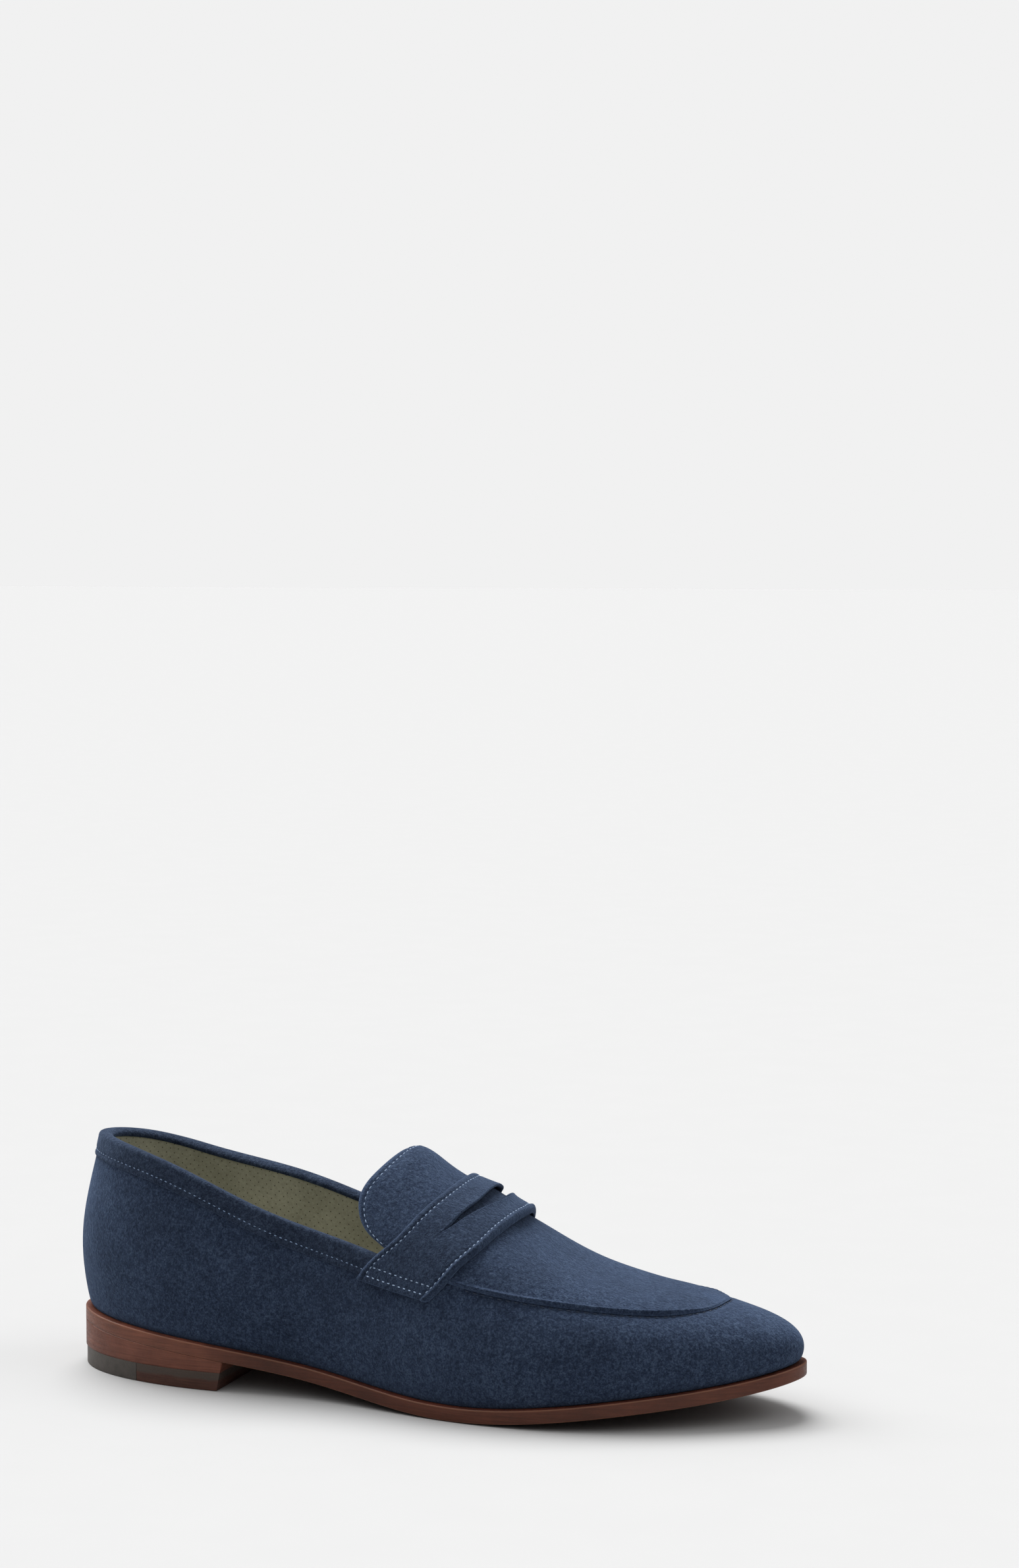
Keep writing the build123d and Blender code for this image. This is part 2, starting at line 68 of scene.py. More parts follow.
WALL_U = [0, 0.1, 0.2, 0.3, 0.4, 0.46, 0.5, 0.54, 0.6, 0.7, 0.8, 0.9]
WALL_RISE = [46.4, 52.1, 53.1, 53.3, 30.6, 19.8, 15.5, 17.5, 27.5, 45.0, 51.5, 55.0]
WALL_BULGE = [9.5, 6.9, 4.2, 7.8, 6.3, 6.1, 7.8, 6.1, 5.4, 4.6, 2.8, 3.7]
WALL_LEAN = [0.50, 0.54, 0.55, 0.58, 0.57, 0.56, 0.57, 0.55, 0.54, 0.54, 0.55, 0.55]
TOP_U = [0, 0.05, 0.1, 0.16, 0.22, 0.28, 0.34, 0.4, 0.45, 0.5, 0.55, 0.6, 0.66, 0.72, 0.78, 0.84,
         0.9, 0.95]
TOP_Z = [92.6, 91.5, 84.8, 69.6, 59.5, 50.8, 44.9, 41.0, 41.3, 41.6, 40.9, 40.2, 43.4, 52.2,
         62.8, 76.0, 82.5, 88.6]
MEDIAL = 0.92
STRAP_V = [0.28, 0.33, 0.42, 0.547, 0.665, 0.812, 1.0]
STRAP_REAR = [-15.8, -12.0, -3.2, 4.3, 8.7, 12.0, 13.3]
STRAP_FRONT = [15.0, 19.4, 25.0, 31.0, 33.7, 35.6, 36.8]
TONGUE_V = [0.405, 0.425, 0.45, 0.49, 0.55, 0.61, 0.705, 0.844, 1.0]
TONGUE_END = [-5.6, -11.5, -15.5, -18.2, -19.3, -18.3, -15.2, -11.8, -10.0]
SLOT_W = [0.0, 0.1, 0.2, 0.33, 0.43, 0.5]
SLOT_REAR = [22.3, 22.3, 22.0, 19.4, 16.8, 13.2]
SLOT_FRONT = [29.0, 28.3, 26.0, 22.0, 17.8, 13.2]


def spline(xs, ys, x, period=None):
    """Cubic curve through (xs, ys), natural or closed, read at x."""
    xs = np.asarray(xs, float)
    ys = np.asarray(ys, float)
    if period:
        xs = np.concatenate([xs, [xs[0] + period]])
        ys = np.concatenate([ys, ys[:1]])
        x = np.mod(np.asarray(x, float) - xs[0], period) + xs[0]
    n = len(xs)
    h = np.diff(xs)
    slope = np.diff(ys, axis=0) / (h if ys.ndim == 1 else h[:, None])
    a = np.zeros((n, n))
    b = np.zeros_like(ys)
    for i in range(1, n - 1):
        a[i, i - 1:i + 2] = h[i - 1], 2 * (h[i - 1] + h[i]), h[i]
        b[i] = 6 * (slope[i] - slope[i - 1])
    if period:
        a[0, 0], a[0, n - 1] = 1, -1
        a[n - 1, 0], a[n - 1, 1] = 2 * h[0], h[0]
        a[n - 1, n - 2], a[n - 1, n - 1] = h[-1], 2 * h[-1]
        b[n - 1] = 6 * (slope[0] - slope[-1])
    else:
        a[0, 0] = a[n - 1, n - 1] = 1
    m = np.linalg.solve(a, b)
    x = np.clip(np.asarray(x, float), xs[0], xs[-1])
    i = np.clip(np.searchsorted(xs, x) - 1, 0, n - 2)
    w = h[i]
    p = (xs[i + 1] - x) / w
    q = (x - xs[i]) / w
    if ys.ndim == 2:
        w, p, q = w[..., None], p[..., None], q[..., None]
    return p * ys[i] + q * ys[i + 1] + ((p ** 3 - p) * m[i] + (q ** 3 - q) * m[i + 1]) * w * w / 6


PLAN = np.array(OUTLINE, float)
PLAN_STEP = np.hypot(*np.diff(np.vstack([PLAN, PLAN[:1]]), axis=0).T)
PLAN_AT = np.concatenate([[0], np.cumsum(PLAN_STEP)]) / PLAN_STEP.sum()


def outline(u):
    u = np.asarray(u, float)
    point = spline(PLAN_AT[:-1], PLAN, u, 1.0)
    run = spline(PLAN_AT[:-1], PLAN, u + 1e-4, 1.0) - spline(PLAN_AT[:-1], PLAN, u - 1e-4, 1.0)
    out = np.stack([run[..., 1], -run[..., 0]], -1)
    return point, out / np.linalg.norm(out, axis=-1, keepdims=True)


def tread(x):
    return spline(TREAD_X, TREAD_Z, x)


def last(u, v):
    """Outer surface of the upper: v = 0 at the sole's edge, v = 1 on the ridge."""
    u, v = np.broadcast_arrays(np.asarray(u, float), np.asarray(v, float))
    edge, out = outline(u)
    foot = edge - FEATHER_INSET * out
    x, y = foot[..., 0], foot[..., 1]
    low = tread(x) + OUTSOLE + GLUE
    rear = np.logaddexp(0, (x - RIDGE_REAR) / RIDGE_SOFT)
    front = np.logaddexp(0, (x - RIDGE_FRONT) / RIDGE_SOFT)
    rx = RIDGE_REAR + RIDGE_SOFT * (rear - front)
    ry = spline(CENTRE_X, CENTRE_Y, rx)
    rz = spline(RIDGE_X, RIDGE_Z, rx)
    fall = spline(RIDGE_X, RIDGE_Z, rx + 0.5) - spline(RIDGE_X, RIDGE_Z, rx - 0.5)
    rise = spline(WALL_U, WALL_RISE, u, 1.0)
    bulge = spline(WALL_U, WALL_BULGE, u, 1.0)
    lean = spline(WALL_U, WALL_LEAN, u, 1.0)
    p0 = np.stack([x, y, low], -1)
    p1 = p0 + np.stack([out[..., 0] * bulge, out[..., 1] * bulge, rise], -1)
    p3 = np.stack([rx, ry, rz], -1)
    p2 = p3 + lean[..., None] * np.stack([x - rx, y - ry, fall * (x - rx)], -1)
    v = v[..., None]
    w = 1 - v
    return w ** 3 * p0 + 3 * w * w * v * p1 + 3 * w * v * v * p2 + v ** 3 * p3


def station(x, lateral):
    """Fraction of the outline whose foot point lies at x, on one side."""
    u = np.linspace(0, 0.5, 801) if lateral else np.linspace(1, 0.5, 801)
    edge, out = outline(u)
    return np.interp(x, edge[:, 0] - FEATHER_INSET * out[:, 0], u)


def normal(u, v):
    e = 1e-3
    du = last(u + e, v) - last(u - e, v)
    dv = last(u, np.minimum(v + e, 1)) - last(u, v - e)
    n = np.cross(du, dv)
    return n / np.maximum(np.linalg.norm(n, axis=-1, keepdims=True), 1e-9)


def skin(u, v, off):
    """Point at a distance off outside the last surface."""
    u, v = np.broadcast_arrays(np.asarray(u, float), np.asarray(v, float))
    return last(u, v) + np.broadcast_to(off, u.shape)[..., None] * normal(u, v)


def over_uv(x, w):
    x, w = np.broadcast_arrays(np.asarray(x, float), np.asarray(w, float))
    u = np.where(w < 0, station(x, True), station(x, False))
    return u, 1 - np.where(w < 0, -w, MEDIAL * w)


def over(x, w, off):
    """Point over the instep: w from -1 (lateral sole edge) through 0 (ridge) to 1."""
    u, v = over_uv(x, w)
    return skin(u, v, off)


def top_v(u):
    """Share of the way up at which the wall meets the collar edge or the apron seam."""
    u = np.atleast_1d(np.asarray(u, float))
    v = np.linspace(0, 1, 201)
    z = last(u[:, None], v[None])[..., 2]
    goal = spline(TOP_U, TOP_Z, u, 1.0)
    reached = z >= goal[:, None]
    j = np.where(reached.any(axis=1), np.argmax(reached, axis=1), 200)
    i = np.arange(len(u))
    part = (goal - z[i, j - 1]) / (z[i, j] - z[i, j - 1])
    return v[j - 1] + np.clip(part, 0, 1) * 0.005


def down(u, v, drop):
    run = np.linalg.norm(last(u, v) - last(u, v - 0.01), axis=-1) / 0.01
    return v - drop / run


def smooth(t):
    t = np.clip(t, 0, 1)
    return t * t * (3 - 2 * t)


def bump(d, at, width):
    return np.exp(-((d - at) / width) ** 2)


# ---------------------------------------------------------------- mesh helpers
def new_object(name, verts, faces, material, uvs=None, attrs=None):
    mesh = bpy.data.meshes.new(name)
    mesh.from_pydata((np.asarray(verts) * MM).tolist(), [], faces)
    mesh.polygons.foreach_set("use_smooth", [True] * len(mesh.polygons))
    if uvs is not None:
        layer = mesh.uv_layers.new(name="UVMap")
        idx = np.empty(len(mesh.loops), int)
        mesh.loops.foreach_get("vertex_index", idx)
        layer.data.foreach_set("uv", np.asarray(uvs)[idx].astype(np.float32).reshape(-1))
    for key, values in (attrs or {}).items():
        attribute = mesh.attributes.new(key, "FLOAT", "POINT")
        attribute.data.foreach_set("value", np.asarray(values, np.float32))
    mesh.validate()
    made = bmesh.new()
    made.from_mesh(mesh)
    bmesh.ops.holes_fill(made, edges=[e for e in made.edges if e.is_boundary], sides=60)
    bmesh.ops.triangulate(made, faces=[f for f in made.faces if len(f.verts) > 8])
    bmesh.ops.recalc_face_normals(made, faces=made.faces)
    made.to_mesh(mesh)
    made.free()
    mesh.polygons.foreach_set("use_smooth", [True] * len(mesh.polygons))
    piece = bpy.data.objects.new(name, mesh)
    bpy.context.scene.collection.objects.link(piece)
    for m in material if isinstance(material, (list, tuple)) else [material]:
        mesh.materials.append(m)
    return piece


def merged(verts, faces, extra, tol=0.004):
    """Weld points closer than tol and drop faces that collapse."""
    key = np.round(np.asarray(verts) / tol).astype(np.int64)
    _, first, back = np.unique(key, axis=0, return_index=True, return_inverse=True)
    back = back.reshape(-1)
    kept = []
    for f in faces:
        g = []
        for i in f:
            j = int(back[i])
            if not g or g[-1] != j:
                g.append(j)
        if len(g) > 1 and g[0] == g[-1]:
            g.pop()
        if len(set(g)) == len(g) and len(g) > 2:
            kept.append(g)
    return np.asarray(verts)[first], kept, [np.asarray(e)[first] for e in extra]


def rounded(a, b, tangent, rim, squash=1.0):
    """Points of a half circle from a to b for each pair, swung out along the tangent."""
    mid, half = (a + b) / 2, (a - b) / 2
    r = np.linalg.norm(half, axis=1, keepdims=True)
    t = tangent / np.maximum(np.linalg.norm(tangent, axis=1, keepdims=True), 1e-9)
    return np.stack([mid + half * math.cos(g) + t * r * math.sin(g) * squash
                     for g in np.linspace(0, math.pi, rim + 2)[1:-1]], 1)


def tube_faces(rows, count):
    """Quads between neighbouring closed rings of count points."""
    return [(i * count + j, i * count + (j + 1) % count,
             (i + 1) * count + (j + 1) % count, (i + 1) * count + j)
            for i in range(rows - 1) for j in range(count)]


def leather(name, outer, inner, material, closed=False, rim=4, edge_reach=5.0):
    """Closed mesh between two matching grids of points, with every edge rounded over.
    Rows run along the piece; closed says that the last row meets the first."""
    outer, inner = np.asarray(outer, float), np.asarray(inner, float)
    n, m = outer.shape[:2]
    run = np.linalg.norm(np.diff(outer, axis=1), axis=2)
    at = np.concatenate([np.zeros((n, 1)), np.cumsum(run, axis=1)], axis=1)
    right = rounded(outer[:, -1], inner[:, -1], outer[:, -1] - outer[:, -2], rim)
    left = rounded(inner[:, 0], outer[:, 0], outer[:, 0] - outer[:, 1], rim)
    loops = np.concatenate([outer, right, inner[:, ::-1], left], axis=1)
    count = loops.shape[1]
    zero = np.zeros((n, rim))
    v_at = np.concatenate([at, at[:, -1:] + zero + 1.0, at[:, ::-1], zero - 1.0], axis=1)
    from_side = np.minimum(at, at[:, -1:] - at)
    near = np.concatenate([from_side, zero, from_side[:, ::-1], zero], axis=1)
    grade = np.repeat(((np.arange(rim) + 1) / (rim + 1))[None], n, 0)
    back = np.concatenate([np.zeros((n, m)), grade, np.ones((n, m)), grade[:, ::-1]], axis=1)
    step = np.linalg.norm(np.diff(outer[:, m // 2], axis=0), axis=1)
    u_at = np.concatenate([[0], np.cumsum(step)])
    info = np.stack([np.repeat(u_at[:, None], count, 1), v_at, near, back], -1)
    rows, notes = [loops], [info]

    def middle(row):
        centre = (outer[row] + inner[row]) / 2
        return np.concatenate([centre, centre[-1:].repeat(rim, 0), centre[::-1], centre[:1].repeat(rim, 0)])

    if not closed:
        for end, other in ((0, 1), (-1, -2)):
            mid = middle(end)
            half = loops[end] - mid
            r = float(np.median(np.linalg.norm(outer[end] - inner[end], axis=1))) / 2
            t = mid - middle(other)
            t = t / np.maximum(np.linalg.norm(t, axis=1, keepdims=True), 1e-9)
            cap = [mid + half * math.cos(g) + t * r * math.sin(g)
                   for g in np.linspace(0, math.pi / 2, rim)[1:]]
            note = info[end][None].repeat(len(cap), 0)
            if end == 0:
                rows.insert(0, np.stack(cap[::-1]))
                notes.insert(0, note)
            else:
                rows.append(np.stack(cap))
                notes.append(note)
    grid, info = np.concatenate(rows), np.concatenate(notes)
    if not closed:
        from_end = np.minimum(info[..., 0], u_at[-1] - info[..., 0])
        info[..., 2] = np.minimum(info[..., 2], from_end)
    total = grid.shape[0]
    faces = []
    for i in range(total if closed else total - 1):
        a, b = i * count, ((i + 1) % total) * count
        for j in range(count):
            k = (j + 1) % count
            faces.append((a + j, b + j, b + k, a + k))
    verts, faces, (u_mm, v_mm, near, inside) = merged(grid.reshape(-1, 3), faces, info.reshape(-1, 4).T)
    # Edge mask for the paler suede rims: part real wear, part painted highlight.
    edge = np.clip(1 - near / edge_reach, 0, 1)
    piece = new_object(name, verts, faces, material, np.stack([u_mm, v_mm], -1) * 0.01,
                       {"edge": edge, "inside": inside})
    if isinstance(material, list):
        index = [1 if min(inside[i] for i in p.vertices) > 0.55 else 0 for p in piece.data.polygons]
        piece.data.polygons.foreach_set("material_index", index)
    return piece


def path_frames(points, normals, spacing):
    """Evenly spaced points along a line, with its direction and outward normal."""
    step = np.linalg.norm(np.diff(points, axis=0), axis=1)
    at = np.concatenate([[0], np.cumsum(step)])
    count = max(int(at[-1] / spacing), 1)
    where = (np.arange(count) + 0.5) * at[-1] / count

    def read(rows, place):
        return np.stack([np.interp(place, at, rows[:, k]) for k in range(3)], -1)

    p, n = read(points, where), read(normals, where)
    a, b = read(points, where + 0.3), read(points, where - 0.3)
    t = (a - b) / np.linalg.norm(a - b, axis=1, keepdims=True)
    n = n - (n * t).sum(1, keepdims=True) * t
    return p, t, n / np.linalg.norm(n, axis=1, keepdims=True)


def stitches(name, lines, material, spacing=2.7, length=1.9, radius=0.24, lift=0.08, seed=1):
    """Thread: one short arched capsule for each stitch, dipping into the leather at both ends."""
    rng = np.random.default_rng(seed)
    rings, sides = 7, 6
    verts, faces = [], []
    along = np.linspace(-1, 1, rings)
    size = np.sqrt(np.clip(1 - np.abs(along) ** 3.0, 0.05, 1))
    arch = 1 - along ** 2
    turn = np.arange(sides) * 2 * math.pi / sides
    for points, normals in lines:
        p, t, n = path_frames(np.asarray(points), np.asarray(normals), spacing)
        b = np.cross(n, t)
        for k in range(len(p)):
            tilt = rng.normal(0, 0.06)
            direction = t[k] + b[k] * tilt
            half = length / 2 * (1 + rng.normal(0, 0.05))
            base = len(verts)
            for r in range(rings):
                c = p[k] + direction * along[r] * half + n[k] * (lift * 2 * arch[r] - 0.22 + lift)
                for a in turn:
                    verts.append(c + (b[k] * math.cos(a) + n[k] * math.sin(a) * 0.85) * radius * size[r])
            for r in range(rings - 1):
                for s in range(sides):
                    q = base + r * sides
                    faces.append((q + s, q + (s + 1) % sides, q + sides + (s + 1) % sides, q + sides + s))
            faces.append(tuple(base + s for s in range(sides))[::-1])
            faces.append(tuple(base + (rings - 1) * sides + s for s in range(sides)))
    return new_object(name, verts, faces, material)


# ---------------------------------------------------------------- materials
def nodes_of(name):
    material = bpy.data.materials.new(name)
    material.use_nodes = True
    tree = material.node_tree
    return material, tree, tree.nodes["Principled BSDF"]


def add(tree, kind, inputs=(), **settings):
    node = tree.nodes.new(kind)
    for key, value in settings.items():
        setattr(node, key, value)
    for key, value in dict(inputs).items():
        node.inputs[key].default_value = value
    return node


def ramp(tree, source, stops):
    node = tree.nodes.new("ShaderNodeValToRGB")
    while len(node.color_ramp.elements) < len(stops):
        node.color_ramp.elements.new(0.5)
    for element, (at, colour) in zip(node.color_ramp.elements, stops):
        element.position = at
        element.color = (*colour, 1) if len(colour) == 3 else colour
    tree.links.new(source, node.inputs["Fac"])
    return node.outputs["Color"]


def mixed(tree, factor, a, b, kind="MIX"):
    node = tree.nodes.new("ShaderNodeMix")
    node.data_type = "RGBA"
    node.blend_type = kind
    for socket, value in ((node.inputs[0], factor), (node.inputs[6], a), (node.inputs[7], b)):
        if hasattr(value, "links"):
            tree.links.new(value, socket)
        elif isinstance(value, tuple):
            socket.default_value = (*value, 1)
        else:
            socket.default_value = value
    return node.outputs[2]


def maths(tree, operation, a, b=0.0, clamp=False):
    node = tree.nodes.new("ShaderNodeMath")
    node.operation = operation
    node.use_clamp = clamp
    for socket, value in ((node.inputs[0], a), (node.inputs[1], b)):
        if hasattr(value, "links"):
            tree.links.new(value, socket)
        else:
            socket.default_value = value
    return node.outputs[0]


def noise(tree, where, scale, detail=3.0, roughness=0.55, distortion=0.0):
    node = add(tree, "ShaderNodeTexNoise", {"Scale": scale, "Detail": detail, "Roughness": roughness,
                                            "Distortion": distortion})
    tree.links.new(where, node.inputs["Vector"])
    return node.outputs["Fac"]


def bumped(tree, shader, height, strength, distance, under=None):
    node = add(tree, "ShaderNodeBump", {"Strength": strength, "Distance": distance})
    tree.links.new(height, node.inputs["Height"])
    if under is not None:
        tree.links.new(under, node.inputs["Normal"])
    if shader is not None:
        tree.links.new(node.outputs["Normal"], shader.inputs["Normal"])
    return node.outputs["Normal"]


def suede(name, dark, mid, light, sheen=0.3):
    """Napped leather: cloudy brushed patches, fine fibres, and paler edges that are part real wear, part
    painted highlight.
    """
    material, tree, shader = nodes_of(name)
    where = add(tree, "ShaderNodeTexCoord").outputs["Object"]
    cloud = noise(tree, where, 26, 4, 0.6, 0.5)
    brushed = noise(tree, where, 120, 5, 0.7, 0.6)
    grain = noise(tree, where, 560, 4, 0.75, 0.3)
    fibre = noise(tree, where, 1300, 3, 0.8)
    patch = ramp(tree, cloud, [(0.32, dark), (0.5, mid), (0.70, light)])
    streak = ramp(tree, brushed, [(0.36, dark), (0.64, light)])
    colour = mixed(tree, 0.4, patch, streak)
    fleck = ramp(tree, grain, [(0.41, (0.62, 0.64, 0.68)), (0.5, WHITE), (0.59, (1.46, 1.42, 1.34))])
    colour = mixed(tree, 0.85, colour, fleck, "MULTIPLY")
    speck = ramp(tree, fibre, [(0.41, (0.46, 0.50, 0.58)), (0.5, WHITE), (0.59, (1.75, 1.65, 1.45))])
    colour = mixed(tree, 0.8, colour, speck, "MULTIPLY")
    edge = add(tree, "ShaderNodeAttribute", attribute_name="edge").outputs["Fac"]
    # Paler rims: part real wear, part painted highlight along every edge of the suede pieces.
    edge_wear_and_highlight = maths(tree, "MULTIPLY", maths(tree, "POWER", edge, 6.0), 0.3)
    colour = mixed(tree, edge_wear_and_highlight, colour, tuple(1.7 * c for c in light))
    tree.links.new(colour, shader.inputs["Base Color"])
    shader.inputs["Roughness"].default_value = 0.95
    shader.inputs["Specular IOR Level"].default_value = 0.1
    shader.inputs["Sheen Weight"].default_value = sheen
    shader.inputs["Sheen Roughness"].default_value = 0.45
    shader.inputs["Sheen Tint"].default_value = (0.36, 0.52, 0.85, 1)
    wide = bumped(tree, None, brushed, 0.35, 0.0012)
    nap = bumped(tree, None, grain, 0.75, 0.0010, wide)
    bumped(tree, shader, fibre, 0.8, 0.0005, nap)
    return material


def thread(name, colour):
    material, tree, shader = nodes_of(name)
    where = add(tree, "ShaderNodeTexCoord").outputs["Object"]
    ply = add(tree, "ShaderNodeTexWave", {"Scale": 900.0, "Distortion": 2.0, "Detail": 1.0},
              wave_type="BANDS", bands_direction="DIAGONAL")
    tree.links.new(where, ply.inputs["Vector"])
    tone = noise(tree, where, 220, 2)
    shade = ramp(tree, tone, [(0.3, tuple(0.75 * c for c in colour)), (0.7, tuple(1.2 * c for c in colour))])
    tree.links.new(shade, shader.inputs["Base Color"])
    shader.inputs["Roughness"].default_value = 0.6
    bumped(tree, shader, ply.outputs["Fac"], 0.4, 0.0001)
    return material


def lining(name):
    """Smooth lining leather with a diagonal grid of pin holes, pressed in by bump and coloured near-black as
    painted shade.
    """
    material, tree, shader = nodes_of(name)
    coord = add(tree, "ShaderNodeTexCoord")
    where = coord.outputs["Object"]
    split = add(tree, "ShaderNodeSeparateXYZ")
    tree.links.new(coord.outputs["UV"], split.inputs[0])
    pitch = 0.0385

    def cell(a, b):
        return maths(tree, "SINE", maths(tree, "MULTIPLY", maths(tree, "ADD", a, b), 2 * math.pi / pitch))

    flipped = maths(tree, "MULTIPLY", split.outputs[1], -1.0)
    both = maths(tree, "ADD", cell(split.outputs[0], split.outputs[1]), cell(split.outputs[0], flipped))
    hole = maths(tree, "GREATER_THAN", both, 1.83)
    cloud = noise(tree, where, 60, 4, 0.6)
    grain = noise(tree, where, 900, 3, 0.6)
    colour = ramp(tree, cloud, [(0.3, (0.285, 0.280, 0.208)), (0.7, (0.385, 0.376, 0.286))])
    speck = ramp(tree, grain, [(0.3, (0.85, 0.85, 0.85)), (0.7, (1.1, 1.1, 1.1))])
    colour = mixed(tree, 1.0, colour, speck, "MULTIPLY")
    # Painted shade: the pin holes are coloured near-black.
    colour = mixed(tree, maths(tree, "MULTIPLY", hole, 0.92), colour, (0.03, 0.026, 0.02))
    tree.links.new(colour, shader.inputs["Base Color"])
    shader.inputs["Roughness"].default_value = 0.42
    shader.inputs["Specular IOR Level"].default_value = 0.4
    fine = bumped(tree, None, grain, 0.25, 0.0002)
    bumped(tree, shader, maths(tree, "MULTIPLY", hole, -1.0), 0.6, 0.0003, fine)
    return material


def sole_leather(name, dark, light, roughness=0.38, heel_tint=None):
    """Burnished leather edge: fine level fibres, stain that thins out in places and towards the heel, and a
    painted highlight along the edge's rounded corners.
    """
    material, tree, shader = nodes_of(name)
    where = add(tree, "ShaderNodeTexCoord").outputs["Object"]
    stretch = add(tree, "ShaderNodeMapping", {"Scale": (60.0, 60.0, 1600.0)})
    tree.links.new(where, stretch.inputs["Vector"])
    layers = noise(tree, stretch.outputs[0], 1.0, 4, 0.6, 0.2)
    stain = noise(tree, where, 55, 4, 0.6)
    pores = noise(tree, where, 1400, 2, 0.6)
    base = ramp(tree, stain, [(0.3, dark), (0.7, light)])
    band = ramp(tree, layers, [(0.3, (0.62, 0.6, 0.58)), (0.7, (1.3, 1.28, 1.25))])
    colour = mixed(tree, 0.8, base, band, "MULTIPLY")
    if heel_tint:
        split = add(tree, "ShaderNodeSeparateXYZ")
        tree.links.new(where, split.inputs[0])
        share = maths(tree, "MULTIPLY", maths(tree, "ADD", split.outputs[0], 0.066), -36.0, True)
        tint = ramp(tree, share, [(0.0, WHITE), (1.0, heel_tint)])
        colour = mixed(tree, 1.0, colour, tint, "MULTIPLY")
    # Painted highlight: a paler red-brown line along the rounded top and bottom corners of the sole edge.
    edge = add(tree, "ShaderNodeAttribute", attribute_name="edge").outputs["Fac"]
    colour = mixed(tree, maths(tree, "MULTIPLY", edge, 0.45), colour, (0.42, 0.22, 0.13))
    tree.links.new(colour, shader.inputs["Base Color"])
    rough = add(tree, "ShaderNodeMapRange", {"From Min": 0.3, "From Max": 0.7, "To Min": roughness - 0.08,
                                             "To Max": roughness + 0.16})
    tree.links.new(pores, rough.inputs["Value"])
    tree.links.new(rough.outputs[0], shader.inputs["Roughness"])
    shader.inputs["Specular IOR Level"].default_value = 0.24
    shader.inputs["Coat Weight"].default_value = 0.03
    shader.inputs["Coat Roughness"].default_value = 0.3
    first = bumped(tree, None, layers, 0.35, 0.0002)
    bumped(tree, shader, pores, 0.15, 0.0001, first)
    return material


def plain(name, dark, light, scale, roughness, metallic=0.0, depth=0.0002):
    """Simple mottled finish for rubber, metal, cork, board and foam."""
    material, tree, shader = nodes_of(name)
    where = add(tree, "ShaderNodeTexCoord").outputs["Object"]
    tone = noise(tree, where, scale, 5, 0.6)
    fine = noise(tree, where, scale * 6, 3, 0.6)
    colour = ramp(tree, tone, [(0.3, dark), (0.7, light)])
    tree.links.new(colour, shader.inputs["Base Color"])
    shader.inputs["Roughness"].default_value = roughness
    shader.inputs["Metallic"].default_value = metallic
    bumped(tree, shader, fine, 0.4, depth)
    return material


NAVY = suede("suede_navy", (0.0140, 0.0225, 0.0445), (0.0205, 0.0325, 0.0630), (0.0290, 0.0450, 0.0830))
COLLAR = suede("suede_collar", (0.0105, 0.0165, 0.0320), (0.0160, 0.0245, 0.0460), (0.0240, 0.0360, 0.0640),
               sheen=0.24)
THREAD = thread("thread_blue", (0.26, 0.35, 0.49))
# Darker copy of the navy suede, about 0.72 times as bright: painted shade on the strap.
STRAP_SHADED_SUEDE = suede("suede_strap_painted_shade", (0.0100, 0.0160, 0.0320), (0.0148, 0.0235, 0.0455), (0.0210, 0.0325, 0.0600),
              sheen=0.4)
COLLAR_THREAD = thread("thread_collar", (0.17, 0.25, 0.39))
DARK_THREAD = thread("thread_navy", (0.030, 0.046, 0.082))
LINING = lining("lining_leather")
SOLE = sole_leather("sole_edge", (0.054, 0.0145, 0.0085), (0.096, 0.027, 0.015), 0.44, (1.8, 2.15, 2.3))
STACK = sole_leather("heel_stack", (0.098, 0.031, 0.019), (0.185, 0.066, 0.041), 0.46)
TOP_LEATHER = sole_leather("top_piece_leather_finish", (0.060, 0.024, 0.017), (0.098, 0.043, 0.030), 0.5)
RUBBER = plain("heel_rubber", (0.040, 0.033, 0.027), (0.066, 0.055, 0.046), 260, 0.55)


def layered(material, grey, height):
    """Adds the grey worn layer above a height on the side of the top piece."""
    tree = material.node_tree
    shader = tree.nodes["Principled BSDF"]
    colour = shader.inputs["Base Color"].links[0].from_socket
    where = add(tree, "ShaderNodeTexCoord").outputs["Object"]
    split = add(tree, "ShaderNodeSeparateXYZ")
    tree.links.new(where, split.inputs[0])
    wander = maths(tree, "MULTIPLY", maths(tree, "SUBTRACT", noise(tree, where, 90, 3), 0.5), 0.0022)
    level = maths(tree, "SUBTRACT", maths(tree, "ADD", split.outputs[2], wander), height)
    share = maths(tree, "MULTIPLY", maths(tree, "ADD", level, 0.0005), 1000.0, True)
    paler = mixed(tree, maths(tree, "MULTIPLY", share, 0.8), colour, grey)
    tree.links.new(paler, shader.inputs["Base Color"])


layered(TOP_LEATHER, (0.062, 0.050, 0.041), 0.0038)
BRASS = plain("pin_brass", (0.36, 0.25, 0.09), (0.55, 0.40, 0.16), 400, 0.35, 1.0)
CORK = plain("cork", (0.16, 0.085, 0.04), (0.42, 0.27, 0.14), 420, 0.9)
STEEL = plain("shank_steel", (0.42, 0.42, 0.43), (0.6, 0.6, 0.6), 300, 0.35, 1.0)
BOARD = plain("insole_leather", (0.42, 0.29, 0.17), (0.56, 0.41, 0.26), 300, 0.75)
FOAM = plain("pad_foam", (0.66, 0.62, 0.5), (0.8, 0.77, 0.66), 700, 0.95)

for node, finish in {"top_piece_leather": TOP_LEATHER, "top_piece_rubber": RUBBER, "heel_pins": BRASS,
                     "cork_filler": CORK, "shank": STEEL, "insole_board": BOARD, "heel_pad": FOAM,
                     "heel_counter": BOARD, "toe_puff": BOARD, "waist_stiffener_lateral": BOARD,
                     "waist_stiffener_medial": BOARD}.items():
    solid = bpy.data.objects[node]
    if solid.data.materials:
        for k in range(len(solid.data.materials)):
            solid.data.materials[k] = finish
    else:
        solid.data.materials.append(finish)


